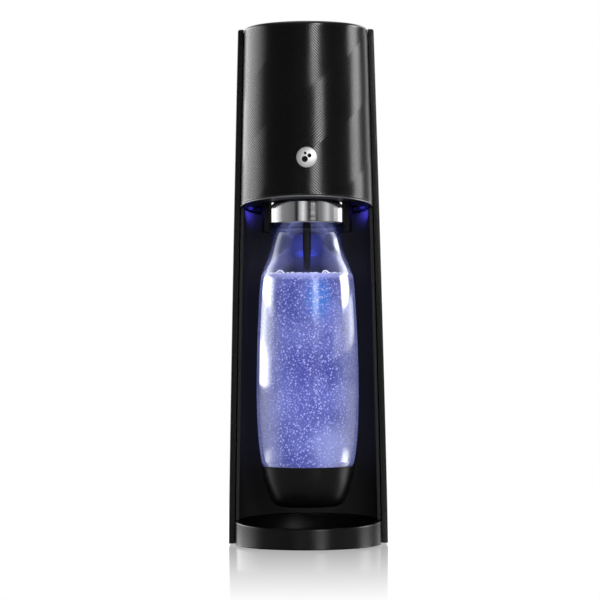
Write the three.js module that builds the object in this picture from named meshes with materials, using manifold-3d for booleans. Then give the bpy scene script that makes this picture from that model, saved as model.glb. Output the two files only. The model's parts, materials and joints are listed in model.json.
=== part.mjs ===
// Countertop soda carbonator: a tall D-shaped machine with a tilting one-litre bottle.
// Millimetres, +Z up. The origin is on the ground under the middle of the machine, and the
// front faces -Y.
import * as THREE from 'three';
import { mergeVertices } from 'three/addons/utils/BufferGeometryUtils.js';
import Module from 'manifold-3d';

const wasm = await Module();
wasm.setup();

// ---- driving dimensions ----
const HEIGHT = 432;
const HALF_WIDTH = 66.5;
const NARROWING = 9.5; // how far each side leans in between the ground and the top
const NARROWING_POWER = 1.2;
const RIGID_RADIUS = 50; // points at least this far out move by the whole narrowing
const FRONT_Y = -93;
const BACK_Y = 93;
const AXIS_Y = -32; // the bottle's axis, and the centre of the round front
const SHELL_RADIUS = 61;
const WALL = 2.5;
const GAP = 0.4;

const FOOT_TOP = 1.6;
const BASE_BOTTOM = 0.8;
const BASE_BACK_Y = 87;
const DECK_BOTTOM = 4.6;
const DECK_TOP = 6.8;
const RIM_FRONT_Z = 17.9;
const RIM_SLOPE = 0.046; // rise of the base's rim per millimetre towards the back

const BAY_DEPTH = 52; // from the bottle's axis to the bay wall behind it
const HEAD_EDGE_Z = 282.1; // lower edge of the head above the bottle's axis
const HEAD_SLOPE = 0.103; // fall of that edge per millimetre towards the back
const HEAD_ANGLE = Math.atan(HEAD_SLOPE);

const PANEL_INNER = SHELL_RADIUS + GAP;
const PANEL_FRONT_Y = -31.6;
const COVER_FRONT_Y = 44.5;
const COVER_BOTTOM = 5;
const COVER_WALL = 3;
const COVER_CORNER = 28;
const COVER_HINGE = { y: 84, z: 9, x: 24 };

const TILT = { y: -20, z: 300 }; // pivot of the bottle carrier
const CYLINDER_Y = 53.2;
const LEVER_PIVOT = { y: 48, z: 386 };
const CAM_Z = 410;
const PINION_X = 20.3;
const BUTTONS = [
  { name: 'low_fizz_button', x: -22, y: -54 },
  { name: 'medium_fizz_button', x: 0, y: -60 },
  { name: 'high_fizz_button', x: 22, y: -54 },
];

const object = new THREE.Group();

// ---- materials ----
function finish(color, roughness, metalness = 0, opacity = 1) {
  return new THREE.MeshStandardMaterial({ color, roughness, metalness, opacity, transparent: opacity < 1 });
}

const SATIN_BLACK = finish(0x0c0c0d, 0.4);
const GLOSS_BLACK = finish(0x08080a, 0.2);
const MATTE_BLACK = finish(0x101011, 0.7);
const INNER_GREY = finish(0x2c2d30, 0.6);
const BRUSHED = finish(0xb9bbc0, 0.3, 1);
const STEEL = finish(0xa7a9ad, 0.35, 1);
const BRASS = finish(0xb08d3c, 0.35, 1);
const RUBBER = finish(0x18181a, 0.85);
const SILICONE = finish(0x8f949c, 0.6);
const CIRCUIT_GREEN = finish(0x1c5a35, 0.5);
const LEVER_PINK = finish(0xc0286b, 0.4);
const LIGHT_BLUE = finish(0x4650ff, 0.3);
const CLEAR_PLASTIC = finish(0xdfe6f5, 0.1, 0, 0.3);
const WATER = finish(0x6d78c8, 0.1, 0, 0.6);
const NYLON = finish(0xe4e1d6, 0.5);

// ---- geometry helpers ----
function add(name, geometry, material) {
  const mesh = new THREE.Mesh(geometry, material);
  mesh.name = name;
  object.add(mesh);
  return mesh;
}

function toSolid(geometry) {
  const bare = geometry.clone();
  bare.deleteAttribute('normal');
  bare.deleteAttribute('uv');
  const merged = mergeVertices(bare, 1e-4);
  const vertProperties = new Float32Array(merged.attributes.position.array);
  const triVerts = new Uint32Array(merged.index.array);
  return new wasm.Manifold(new wasm.Mesh({ numProp: 3, vertProperties, triVerts }));
}

function toGeometry(solid) {
  const mesh = solid.getMesh();
  const geometry = new THREE.BufferGeometry();
  geometry.setAttribute('position', new THREE.BufferAttribute(mesh.vertProperties, 3));
  geometry.setIndex(new THREE.BufferAttribute(mesh.triVerts, 1));
  geometry.computeVertexNormals();
  return geometry;
}

function cut(geometry, ...tools) {
  return toGeometry(tools.reduce((solid, tool) => solid.subtract(toSolid(tool)), toSolid(geometry)));
}

function join(first, ...others) {
  return toGeometry(others.reduce((solid, other) => solid.add(toSolid(other)), toSolid(first)));
}

// Points of an elliptical arc, with its angles in degrees, both ends included.
function arc(x, y, radiusX, radiusY, from, to, pieces) {
  const points = [];
  for (let i = 0; i <= pieces; i += 1) {
    const angle = THREE.MathUtils.degToRad(from + ((to - from) * i) / pieces);
    points.push(new THREE.Vector2(x + radiusX * Math.cos(angle), y + radiusY * Math.sin(angle)));
  }
  return points;
}

function prism(points, bottom, top, steps = 1) {
  const shape = new THREE.Shape(points);
  const geometry = new THREE.ExtrudeGeometry(shape, { depth: top - bottom, steps, bevelEnabled: false });
  return geometry.translate(0, 0, bottom);
}

function box(x0, x1, y0, y1, z0, z1) {
  const geometry = new THREE.BoxGeometry(x1 - x0, y1 - y0, z1 - z0);
  return geometry.translate((x0 + x1) / 2, (y0 + y1) / 2, (z0 + z1) / 2);
}

// A round bar from one end to the other along X, Y or Z.
function bar(radius, start, length, axis, sides = 16) {
  const geometry = new THREE.CylinderGeometry(radius, radius, length, sides);
  geometry.translate(0, length / 2, 0);
  if (axis === 'x') {
    geometry.rotateZ(-Math.PI / 2);
  }
  if (axis === 'z') {
    geometry.rotateX(Math.PI / 2);
  }
  return geometry.translate(start[0], start[1], start[2]);
}

// A turned piece about a vertical axis, from a closed outline of [radius, z] corners.
function turned(profile, x, y, sides = 18) {
  const points = profile.map(([radius, z]) => new THREE.Vector2(radius, z));
  const geometry = new THREE.LatheGeometry(points, sides);
  return geometry.rotateX(Math.PI / 2).translate(x, y, 0);
}

function sideShift(z) {
  return NARROWING * Math.max(0, z / HEIGHT) ** NARROWING_POWER;
}

// Leans the sides and the round front in towards the top, with wall thicknesses kept.
function narrowed(geometry) {
  const position = geometry.attributes.position;
  for (let i = 0; i < position.count; i += 1) {
    const x = position.getX(i);
    const forward = Math.min(0, position.getY(i) - AXIS_Y);
    const reach = Math.hypot(x, forward);
    const scale = 1 - (sideShift(position.getZ(i)) * Math.min(1, reach / RIGID_RADIUS)) / (reach || 1);
    position.setX(i, x * scale);
    position.setY(i, position.getY(i) + forward * (scale - 1));
  }
  geometry.computeVertexNormals();
  return geometry;
}

// A thick block above or below the plane that passes over the bottle's axis at height z.
function slopedBlock(z, slope, side) {
  const size = 400;
  const geometry = new THREE.BoxGeometry(size, size, size);
  geometry.translate(0, 0, (side * size) / 2);
  geometry.rotateX(Math.atan(slope));
  return geometry.translate(0, AXIS_Y, z);
}

function rimHeight(y) {
  return RIM_FRONT_Z + RIM_SLOPE * (y - FRONT_Y);
}

// ---- plan outlines ----
// Round front, straight sides and rounded back corners.
function bodyOutline(halfWidth, backY, corner) {
  const x = halfWidth - corner;
  const y = backY - corner;
  return [
    ...arc(0, AXIS_Y, halfWidth, halfWidth, 180, 360, 24),
    ...arc(x, y, corner, corner, 0, 90, 6),
    ...arc(-x, y, corner, corner, 90, 180, 6),
  ];
}

// Round front and a half-ellipse behind the bottle's axis.
function bayOutline(halfWidth, depth, pieces = 16) {
  const front = arc(0, AXIS_Y, halfWidth, halfWidth, 180, 360, pieces);
  const back = arc(0, AXIS_Y, halfWidth, depth, 0, 180, pieces);
  return [...front, ...back.slice(1, -1)];
}

// ---- base ----
const WELL_RADIUS = 58;
const WELL_DEPTH = 48;
const TRAY_GAP = 0.5;
const TRAY_WALL = 1.6;
const TRAY_FLOOR = 2;
const TRAY_BELOW_RIM = 0.8;
const COVER_PIN_RADIUS = 1.1;
const INLET = { x: 37, z: 13.5, radius: 4.6 };
const HINGE_NOTCH = { half: 6.4, y: 79, top: 15 };
const SCREW_HEAD = 2.8;
const SCREW_SHANK = 1.4;
const SCREWS = [
  { name: 'front_left_screw', x: -20, y: -72 },
  { name: 'front_right_screw', x: 20, y: -72 },
  { name: 'rear_left_screw', x: -34, y: 4 },
  { name: 'rear_right_screw', x: 34, y: 4 },
];

function baseShell() {
  const outer = narrowed(prism(bodyOutline(SHELL_RADIUS, BASE_BACK_Y, 20), BASE_BOTTOM, 30, 2));
  const aboveRim = slopedBlock(rimHeight(AXIS_Y), RIM_SLOPE, 1);
  const well = prism(bayOutline(WELL_RADIUS, WELL_DEPTH), DECK_TOP, 30);
  const recess = prism(bodyOutline(SHELL_RADIUS - 3, BASE_BACK_Y - 3, 17), 0, DECK_BOTTOM);
  const compartment = box(-56, 56, 26, 82, DECK_TOP, 30);
  const cylinderRoom = bar(31, [0, CYLINDER_Y, DECK_TOP], 30, 'z', 24);
  const inletHole = bar(INLET.radius + GAP, [INLET.x, 75, INLET.z], 20, 'y');
  const screwHoles = SCREWS.map(({ x, y }) => bar(SCREW_SHANK + GAP, [x, y, 0], 10, 'z', 12));
  let shell = cut(outer, aboveRim, well, recess, compartment, cylinderRoom, inletHole, ...screwHoles);
  for (const side of [-1, 1]) {
    const x = side * COVER_HINGE.x;
    const notch = box(x - HINGE_NOTCH.half, x + HINGE_NOTCH.half, HINGE_NOTCH.y, 95, 0, HINGE_NOTCH.top);
    const pinHole = bar(COVER_PIN_RADIUS + GAP, [x - 10, COVER_HINGE.y, COVER_HINGE.z], 20, 'x', 12);
    shell = cut(shell, notch, pinHole);
  }
  return shell;
}

function bottomCover() {
  const outline = bodyOutline(SHELL_RADIUS - 3.5, HINGE_NOTCH.y - 1.5, 16);
  const plate = prism(outline, FOOT_TOP + GAP, DECK_BOTTOM - GAP);
  return cut(plate, ...SCREWS.map(({ x, y }) => bar(SCREW_HEAD + GAP, [x, y, 0], 10, 'z', 16)));
}

function baseScrew({ x, y }) {
  const z = FOOT_TOP + 0.6;
  const profile = [
    [0, z], [SCREW_HEAD, z], [SCREW_HEAD, z + 1.4], [SCREW_SHANK, z + 1.4], [SCREW_SHANK, DECK_TOP - 0.4],
    [0, DECK_TOP - 0.4],
  ];
  return turned(profile, x, y, 12);
}

function dripTray() {
  const bottom = DECK_TOP + 0.4;
  const radius = WELL_RADIUS - TRAY_GAP;
  const depth = WELL_DEPTH - TRAY_GAP;
  const outer = prism(bayOutline(radius, depth), bottom, 32);
  const dish = prism(bayOutline(radius - TRAY_WALL, depth - TRAY_WALL), bottom + TRAY_FLOOR, 33);
  return cut(outer, dish, slopedBlock(rimHeight(AXIS_Y) - TRAY_BELOW_RIM, RIM_SLOPE, 1));
}

// A socket with a pin inside it, open towards the back.
function powerInlet() {
  const profile = [
    [0, 0], [INLET.radius, 0], [INLET.radius, 9], [3, 9], [3, 1.5], [1, 1.5], [1, 7], [0, 7],
  ];
  const points = profile.map(([radius, depth]) => new THREE.Vector2(radius, depth));
  return new THREE.LatheGeometry(points, 16).translate(INLET.x, BASE_BACK_Y - 9, INLET.z);
}

add('base_shell', baseShell(), SATIN_BLACK);
add('bottom_cover', bottomCover(), MATTE_BLACK);
add('drip_tray', dripTray(), MATTE_BLACK);
add('power_inlet', powerInlet(), GLOSS_BLACK);

const FEET = [
  { name: 'front_left_foot', x: -36, y: -64 },
  { name: 'front_right_foot', x: 36, y: -64 },
  { name: 'rear_left_foot', x: -44, y: 60 },
  { name: 'rear_right_foot', x: 44, y: 60 },
];
for (const { name, x, y } of FEET) {
  add(name, turned([[0, 0], [6.5, 0], [7, 0.5], [7, FOOT_TOP], [0, FOOT_TOP]], x, y), RUBBER);
}

for (const screw of SCREWS) {
  add(screw.name, baseScrew(screw), STEEL);
}

for (const [name, side] of [['left_cover_pin', -1], ['right_cover_pin', 1]]) {
  const start = [side * COVER_HINGE.x - 8.5, COVER_HINGE.y, COVER_HINGE.z];
  add(name, bar(COVER_PIN_RADIUS, start, 17, 'x', 12), STEEL);
}

// ---- bay wall and side panels ----
const PANEL_BOTTOM = 1.6;
const PANEL_EDGE = 1.6;

function bayWall() {
  const outer = SHELL_RADIUS - 0.4;
  const inner = outer - WALL;
  const outline = [
    ...arc(0, AXIS_Y, outer, BAY_DEPTH + WALL, 0, 180, 20),
    ...arc(0, AXIS_Y, inner, BAY_DEPTH, 180, 0, 20),
  ];
  const wall = narrowed(prism(outline, 10, 300, 4));
  const belowRim = slopedBlock(rimHeight(AXIS_Y) + GAP, RIM_SLOPE, -1);
  return cut(wall, belowRim, slopedBlock(HEAD_EDGE_Z - GAP, -HEAD_SLOPE, 1));
}

// Side -1 is the machine's left side, at -X.
function sidePanel(side) {
  const back = COVER_FRONT_Y - GAP;
  const edgeX = side * (HALF_WIDTH - PANEL_EDGE);
  const outline = [
    new THREE.Vector2(side * PANEL_INNER, PANEL_FRONT_Y),
    new THREE.Vector2(side * PANEL_INNER, back),
    new THREE.Vector2(side * HALF_WIDTH, back),
    ...arc(edgeX, PANEL_FRONT_Y + PANEL_EDGE, side * PANEL_EDGE, PANEL_EDGE, 0, -90, 3),
  ];
  return narrowed(prism(outline, PANEL_BOTTOM, HEIGHT, 6));
}

add('bay_wall', bayWall(), SATIN_BLACK);
add('left_side_panel', sidePanel(-1), GLOSS_BLACK);
add('right_side_panel', sidePanel(1), GLOSS_BLACK);

// ---- head ----
const HEAD_RETURN_Y = COVER_FRONT_Y - GAP; // the head cover's flanks reach back inside the panels
const TOP_COVER = { bottom: 428, top: 431.2 };
const BUTTON_RADIUS = 7.2;
const BADGE = { z: 320, radius: 8.5, thickness: 1 };
const OPENING = { y: -28, halfWidth: 42.5, depth: 45 }; // room for the tilting carrier
const LENS = { x: 46.9, y: -26, halfWidth: 2.2, halfLength: 6 };

function headRadius(z) {
  return SHELL_RADIUS - sideShift(z);
}

function headCover() {
  const flank = HEAD_RETURN_Y;
  const inner = SHELL_RADIUS - WALL;
  const outline = [
    new THREE.Vector2(-SHELL_RADIUS, flank),
    ...arc(0, AXIS_Y, SHELL_RADIUS, SHELL_RADIUS, 180, 360, 28),
    new THREE.Vector2(SHELL_RADIUS, flank),
    new THREE.Vector2(inner, flank),
    ...arc(0, AXIS_Y, inner, inner, 360, 180, 28),
    new THREE.Vector2(-inner, flank),
  ];
  const shell = narrowed(prism(outline, 270, HEIGHT, 3));
  const badgeSeat = bar(BADGE.radius + GAP, [0, FRONT_Y, BADGE.z], badgeBackY() + GAP - FRONT_Y, 'y', 28);
  return cut(shell, slopedBlock(HEAD_EDGE_Z, -HEAD_SLOPE, -1), badgeSeat);
}

function badgeBackY() {
  return AXIS_Y - headRadius(BADGE.z) + BADGE.thickness - 0.4;
}

function badge() {
  return bar(BADGE.radius, [0, badgeBackY() - BADGE.thickness, BADGE.z], BADGE.thickness, 'y', 28);
}

function topCover() {
  const outline = bodyOutline(SHELL_RADIUS - WALL - GAP, COVER_FRONT_Y - GAP, 0.5);
  const plate = narrowed(prism(outline, TOP_COVER.bottom, TOP_COVER.top));
  const { bottom, top } = TOP_COVER;
  const height = top - bottom + 2;
  const holes = BUTTONS.map(({ x, y }) => bar(BUTTON_RADIUS + GAP, [x, y, bottom - 1], height, 'z', 18));
  return cut(plate, ...holes);
}

function doseButton({ x, y }) {
  const profile = [
    [0, 423], [3, 423], [3, 426.4], [8.6, 426.4], [8.6, 427.6], [BUTTON_RADIUS, 427.6],
    [BUTTON_RADIUS, HEIGHT - 0.8], [BUTTON_RADIUS - 0.8, HEIGHT], [0, HEIGHT],
  ];
  return turned(profile, x, y);
}

function controlBoard() {
  const board = box(-29, 29, -68, -44, 418, 419.6);
  const switches = BUTTONS.map(({ x, y }) => box(x - 3, x + 3, y - 3, y + 3, 419, 421.4));
  return join(board, ...switches);
}

// Lays a flat outline on the sloped underside of the head, a given height above its edge.
function underHead(points, lift, thickness, holes = []) {
  const shift = (point) => new THREE.Vector2(point.x, point.y - AXIS_Y);
  const shape = new THREE.Shape(points.map(shift));
  shape.holes = holes.map((hole) => new THREE.Path(hole.map(shift)));
  const geometry = new THREE.ExtrudeGeometry(shape, { depth: thickness, bevelEnabled: false });
  geometry.rotateX(-HEAD_ANGLE);
  return geometry.translate(0, AXIS_Y, HEAD_EDGE_Z + lift);
}

function lensOutline(side, margin) {
  const halfWidth = LENS.halfWidth + margin;
  const halfLength = LENS.halfLength + margin;
  const x = side * LENS.x;
  return [
    new THREE.Vector2(x - halfWidth, LENS.y - halfLength),
    new THREE.Vector2(x + halfWidth, LENS.y - halfLength),
    new THREE.Vector2(x + halfWidth, LENS.y + halfLength),
    new THREE.Vector2(x - halfWidth, LENS.y + halfLength),
  ];
}

function undersidePanel() {
  const outline = bayOutline(headRadius(HEAD_EDGE_Z) - WALL - 1, BAY_DEPTH + 2, 18);
  const opening = arc(0, OPENING.y, OPENING.halfWidth, OPENING.depth, 0, 345, 23);
  const holes = [opening, lensOutline(-1, 0.3), lensOutline(1, 0.3)];
  return underHead(outline, 0.8, 2, holes);
}

add('head_front_cover', headCover(), SATIN_BLACK);
add('badge', badge(), BRUSHED);
add('top_cover', topCover(), GLOSS_BLACK);
for (const button of BUTTONS) {
  add(button.name, doseButton(button), BRUSHED);
}
add('control_board', controlBoard(), CIRCUIT_GREEN);
add('underside_panel', undersidePanel(), MATTE_BLACK);
add('left_light_lens', underHead(lensOutline(-1, 0), 0.8, 2), LIGHT_BLUE);
add('right_light_lens', underHead(lensOutline(1, 0), 0.8, 2), LIGHT_BLUE);

// ---- frame of the head ----
const CHASSIS = { halfWidth: 44, back: 22, bottom: 287, top: 415, cheekTop: 345, cheekFront: -34 };
const TRUNNION_RADIUS = 4;
const TRUNNION_END = 43.4;

function chassis() {
  const { halfWidth, back, bottom, top, cheekTop, cheekFront } = CHASSIS;
  let frame = box(-halfWidth, halfWidth, back - WALL, back, bottom, top);
  for (const side of [-1, 1]) {
    const inner = side * (halfWidth - WALL);
    const outer = side * halfWidth;
    const x0 = Math.min(inner, outer);
    const x1 = Math.max(inner, outer);
    const cheek = box(x0, x1, cheekFront, back, bottom, cheekTop);
    const hole = bar(TRUNNION_RADIUS + 0.5, [x0 - 2, TILT.y, TILT.z], WALL + 4, 'x', 24);
    frame = cut(join(frame, cheek), hole);
  }
  return frame;
}

add('chassis', chassis(), INNER_GREY);

// ---- bottle carrier with its collar and nozzle ----
const CARRIER = { radius: 38, y: -24, bottom: 262, top: 317, neckTop: 303 };
const COLLAR = { radius: 31.7, inner: 29, bottom: 268.3, top: 286.4 };
const NECK_RADIUS = 17;
const NOZZLE = { radius: 3.4, bottom: 230, top: 321 };

function carrierBody() {
  const { radius, y, bottom, top, neckTop } = CARRIER;
  const roomTop = COLLAR.top + GAP;
  const collarRoom = bar(COLLAR.radius + GAP, [0, AXIS_Y, bottom - 5], roomTop - bottom + 5, 'z', 28);
  const frontRoom = box(-60, 60, -90, AXIS_Y - 6, bottom - 5, roomTop);
  const neckRoom = bar(NECK_RADIUS + 2, [0, AXIS_Y, bottom], neckTop - bottom, 'z', 20);
  const nozzleRoom = bar(NOZZLE.radius + GAP, [0, AXIS_Y, bottom], top - bottom + 5, 'z');
  const block = bar(radius, [0, y, bottom], top - bottom, 'z', 32);
  const drum = cut(block, collarRoom, frontRoom, neckRoom, nozzleRoom);
  const pins = [-1, 1].map((side) => {
    const x = side < 0 ? -TRUNNION_END : radius - 8;
    return bar(TRUNNION_RADIUS, [x, TILT.y, TILT.z], TRUNNION_END - radius + 8, 'x', 20);
  });
  return join(drum, ...pins);
}

function collarTrim() {
  const { radius, inner, bottom, top } = COLLAR;
  const lip = 1.2;
  const profile = [
    [inner, bottom + lip], [radius - lip, bottom], [radius, bottom + lip],
    [radius, top - 0.6], [radius - 0.6, top], [inner, top], [inner, bottom + lip],
  ];
  return turned(profile, 0, AXIS_Y, 28);
}

function nozzleBlock() {
  const { radius, top } = NOZZLE;
  const bottom = CARRIER.top + GAP;
  const profile = [
    [radius + GAP, bottom], [12, bottom], [12, bottom + 6], [8, top + 6], [0, top + 6], [0, top + GAP],
    [radius + GAP, top + GAP], [radius + GAP, bottom],
  ];
  return turned(profile, 0, AXIS_Y);
}

function nozzleTube() {
  const { radius, bottom, top } = NOZZLE;
  const bore = 1.4;
  const profile = [
    [bore, bottom + 1], [radius - 1, bottom], [radius, bottom + 1.5], [radius, top], [bore, top],
    [bore, bottom + 1],
  ];
  return turned(profile, 0, AXIS_Y, 16);
}

function bottleSeal() {
  const top = CARRIER.neckTop - 0.3;
  const bottom = top - 3;
  const outer = NECK_RADIUS + 1;
  return turned([[10, bottom], [outer, bottom], [outer, top], [10, top], [10, bottom]], 0, AXIS_Y);
}

add('carrier_body', carrierBody(), MATTE_BLACK);
add('collar_trim', collarTrim(), BRUSHED);
add('nozzle_block', nozzleBlock(), INNER_GREY);
add('nozzle_tube', nozzleTube(), GLOSS_BLACK);
add('bottle_seal', bottleSeal(), SILICONE);

// ---- bottle ----
const BOTTLE_WALL = 1.2;
const CUP_BOTTOM = 32.5;
const CUP_FLOOR = 2.8;
const CUP_TOP = 66.5;
const CUP_WALL = 1.4;
const WATER_LEVEL = 225;
// Outer radius of the bottle and its cup against height.
const BOTTLE_CURVE = [
  [24.1, 32.5], [29.3, 35.5], [32.6, 41.5], [36.4, 52.3], [39.6, 66.5], [42.7, 87], [44.2, 120], [43.7, 163],
  [41.2, 215], [38.2, 230], [33.4, 243], [29, 259], [24.5, 267], [18.5, 277], [17, 283],
];
const NECK_TOP = 299;

// Outline of the bottle between two heights, moved inwards by a wall thickness.
function bottleSide(from, to, inset) {
  const inside = BOTTLE_CURVE.filter(([, z]) => z > from && z < to);
  return [from, ...inside.map(([, z]) => z), to].map((z) => [bottleRadius(z) - inset, z]);
}

function bottleRadius(z) {
  const last = BOTTLE_CURVE.length - 1;
  const next = BOTTLE_CURVE.findIndex(([, height]) => height >= z);
  if (next === -1) {
    return BOTTLE_CURVE[last][0];
  }
  const [r1, z1] = BOTTLE_CURVE[next];
  const [r0, z0] = BOTTLE_CURVE[Math.max(0, next - 1)];
  return z1 === z0 ? r1 : r0 + ((r1 - r0) * (z - z0)) / (z1 - z0);
}

function bottleBody() {
  const insetInCup = CUP_WALL + GAP;
  const bottom = CUP_BOTTOM + CUP_FLOOR + 0.7;
  const outer = [
    [0, bottom], [24, bottom],
    ...bottleSide(bottom + 5.5, CUP_TOP, insetInCup + 0.2),
    ...bottleSide(CUP_TOP + GAP, NECK_TOP, 0),
  ];
  const inner = [
    ...bottleSide(bottom + 7.5, CUP_TOP, insetInCup + BOTTLE_WALL + 0.2),
    ...bottleSide(CUP_TOP + 3, NECK_TOP, BOTTLE_WALL),
  ];
  return turned([...outer, ...inner.reverse(), [22.5, bottom + 1.6], [0, bottom + 1.6]], 0, AXIS_Y, 22);
}

function baseCup() {
  const floor = CUP_BOTTOM + CUP_FLOOR;
  const outer = bottleSide(CUP_BOTTOM, CUP_TOP, 0);
  const inner = bottleSide(CUP_BOTTOM + 8, CUP_TOP, CUP_WALL);
  return turned([[0, CUP_BOTTOM], ...outer, ...inner.reverse(), [25.6, floor], [0, floor]], 0, AXIS_Y, 22);
}

function sparklingWater() {
  const inset = CUP_WALL + BOTTLE_WALL + 1.4;
  const bottom = CUP_BOTTOM + 6;
  const lower = bottleSide(CUP_BOTTOM + 13, CUP_TOP, inset);
  const upper = bottleSide(CUP_TOP + 5, WATER_LEVEL, BOTTLE_WALL + 0.6);
  return turned([[0, bottom], [22, bottom], ...lower, ...upper, [0, WATER_LEVEL]], 0, AXIS_Y, 22);
}

add('bottle_body', bottleBody(), CLEAR_PLASTIC);
add('bottle_base_cup', baseCup(), MATTE_BLACK);
add('sparkling_water', sparklingWater(), WATER);

// ---- gas cylinder, its lever and its valve block ----
const CYLINDER = { radius: 30, bottom: 19, wall: 2.6, shoulder: 318, neckTop: 352 };
const VALVE_TOP = 378;
const BLOCK = { halfWidth: 18, front: 22.4, back: 71, bottom: 366, top: 392 };
const LEVER = { x: 33, width: 4, reach: 36, height: 6 };
const PUSH_PIN = { radius: 2.4, bottom: 371.5, top: 399.2 };

function gasCylinder() {
  const { radius, bottom, wall, shoulder, neckTop } = CYLINDER;
  const inner = radius - wall;
  const profile = [
    [0, bottom], [radius - 4, bottom], [radius, bottom + 4], [radius, shoulder], [28, shoulder + 9],
    [21, shoulder + 20], [12.5, shoulder + 27], [12, neckTop], [9, neckTop], [9, shoulder + 26],
    [19, shoulder + 18], [25.6, shoulder + 8], [inner, shoulder - 1], [inner, bottom + 5],
    [radius - 5, bottom + wall], [0, bottom + wall],
  ];
  return turned(profile, 0, CYLINDER_Y, 20);
}

function cylinderValve() {
  const { neckTop } = CYLINDER;
  const profile = [
    [0, neckTop - 8], [8.5, neckTop - 8], [8.5, neckTop + GAP], [14, neckTop + GAP], [14, VALVE_TOP - 6],
    [11, VALVE_TOP - 4], [11, VALVE_TOP], [3.2, VALVE_TOP], [3.2, VALVE_TOP - 10], [0, VALVE_TOP - 10],
  ];
  return turned(profile, 0, CYLINDER_Y);
}

function cylinderCradle() {
  const profile = [
    [18, DECK_TOP + GAP], [27, DECK_TOP + GAP], [27, 11.4], [26, 12.4], [18, 12.4], [18, DECK_TOP + GAP],
  ];
  return turned(profile, 0, CYLINDER_Y);
}

function valveBlock() {
  const { halfWidth, front, back, bottom, top } = BLOCK;
  const body = box(-halfWidth, halfWidth, front, back, bottom, top);
  const pivotEnd = LEVER.x + LEVER.width + 0.6;
  const pivot = bar(3, [-pivotEnd, LEVER_PIVOT.y, LEVER_PIVOT.z], 2 * pivotEnd, 'x');
  const valveRoom = bar(15.5, [0, CYLINDER_Y, bottom - 5], 20, 'z', 28);
  const pinBore = bar(PUSH_PIN.radius + GAP, [0, CYLINDER_Y, bottom], 40, 'z');
  return cut(join(body, pivot), valveRoom, pinBore);
}

function cylinderLever() {
  const { x, width, reach, height } = LEVER;
  const { y, z } = LEVER_PIVOT;
  const outer = x + width;
  const arms = [-1, 1].map((side) => {
    const inside = side < 0 ? -outer : x;
    const arm = box(inside, inside + width, y, y + reach - 3, z - height / 2, z + height / 2);
    return join(arm, bar(6.5, [inside, y, z], width, 'x', 20));
  });
  const grip = box(-outer, outer, y + reach - 6, y + reach, z - height / 2, z + height / 2);
  const hole = bar(3 + GAP, [-outer - 1, y, z], 2 * outer + 2, 'x');
  return cut(join(grip, ...arms), hole);
}

function pushPin() {
  const { radius, bottom, top } = PUSH_PIN;
  const profile = [
    [0, bottom], [radius, bottom], [radius, top - 1.6], [3.4, top - 1.6], [3.4, top - 0.6], [2.4, top],
    [0, top],
  ];
  return turned(profile, 0, CYLINDER_Y, 16);
}

// A closed coil, as a round wire swept along a helix.
function coilSpring(radius, wire, bottom, height, turns) {
  const steps = turns * 10;
  const points = [];
  for (let i = 0; i <= steps; i += 1) {
    const angle = (2 * Math.PI * turns * i) / steps;
    const z = bottom + (height * i) / steps;
    points.push(new THREE.Vector3(radius * Math.cos(angle), CYLINDER_Y + radius * Math.sin(angle), z));
  }
  return sweep(points, wire, steps, 6);
}

function sweep(points, radius, steps, sides) {
  const section = new THREE.Shape(arc(0, 0, radius, radius, 0, 360 - 360 / sides, sides - 1));
  const extrudePath = new THREE.CatmullRomCurve3(points);
  return new THREE.ExtrudeGeometry(section, { steps, extrudePath, bevelEnabled: false });
}

function gasHose() {
  const points = [
    [-18.6, 42, 372], [-30, 41.5, 371], [-42, 34, 360], [-47.4, 14, 340], [-47.6, -8, 322],
    [-47.6, -18, 312], [-47.6, -20, 306.6],
  ];
  return sweep(points.map(([x, y, z]) => new THREE.Vector3(x, y, z)), 1.8, 18, 8);
}

function wireHarness() {
  const points = [
    [37, 77, 13.5], [42, 72, 14], [50, 54, 22], [51, 36, 60], [51, 34, 200], [47, 33, 320], [44, 33, 390],
    [40, 34, 408], [31, 34, 410],
  ];
  return sweep(points.map(([x, y, z]) => new THREE.Vector3(x, y, z)), 1.5, 22, 6);
}

add('gas_cylinder', gasCylinder(), STEEL);
add('cylinder_valve', cylinderValve(), BRASS);
add('cylinder_cradle', cylinderCradle(), RUBBER);
add('valve_block', valveBlock(), INNER_GREY);
add('cylinder_lever', cylinderLever(), LEVER_PINK);
add('push_pin', pushPin(), STEEL);
add('pin_return_spring', coilSpring(3.5, 0.4, BLOCK.top + 0.6, 1.6, 2), STEEL);
add('relief_valve', bar(3.6, [-29, 62, 374], 29 - BLOCK.halfWidth - GAP, 'x', 12), BRASS);
add('gas_elbow', box(-50.6, -TRUNNION_END - 1, -25, -15, 295, 305.4), BRASS);
add('gas_hose', gasHose(), RUBBER);
add('wire_harness', wireHarness(), MATTE_BLACK);

// ---- motor, gears and cam that press the push pin ----
const MODULE = 1;
const GEAR_TEETH = 30;
const PINION_TEETH = 10;
const CAM = { radius: 10, rise: 2.5, travel: 70, front: 50.2, back: 56.6 };
const GEAR_FACE = { front: 58.6, back: 62 };
const CAM_SHAFT_RADIUS = 1.9;
const MOTOR = { radius: 10, front: 25, back: 44 };
const MOTOR_SHAFT_RADIUS = 1.1;

// Outline of a spur gear with straight-sided teeth, one of them at the given angle.
function gearPoints(teeth, firstTooth) {
  const pitch = (teeth * MODULE) / 2;
  const outer = pitch + 0.8 * MODULE;
  const root = pitch - 1.15 * MODULE;
  const corners = [[root, -0.32], [outer, -0.12], [outer, 0.12], [root, 0.32]];
  const points = [];
  for (let tooth = 0; tooth < teeth; tooth += 1) {
    for (const [radius, share] of corners) {
      const angle = THREE.MathUtils.degToRad(firstTooth + (360 * (tooth + share)) / teeth);
      points.push(new THREE.Vector2(radius * Math.cos(angle), radius * Math.sin(angle)));
    }
  }
  return points;
}

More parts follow.
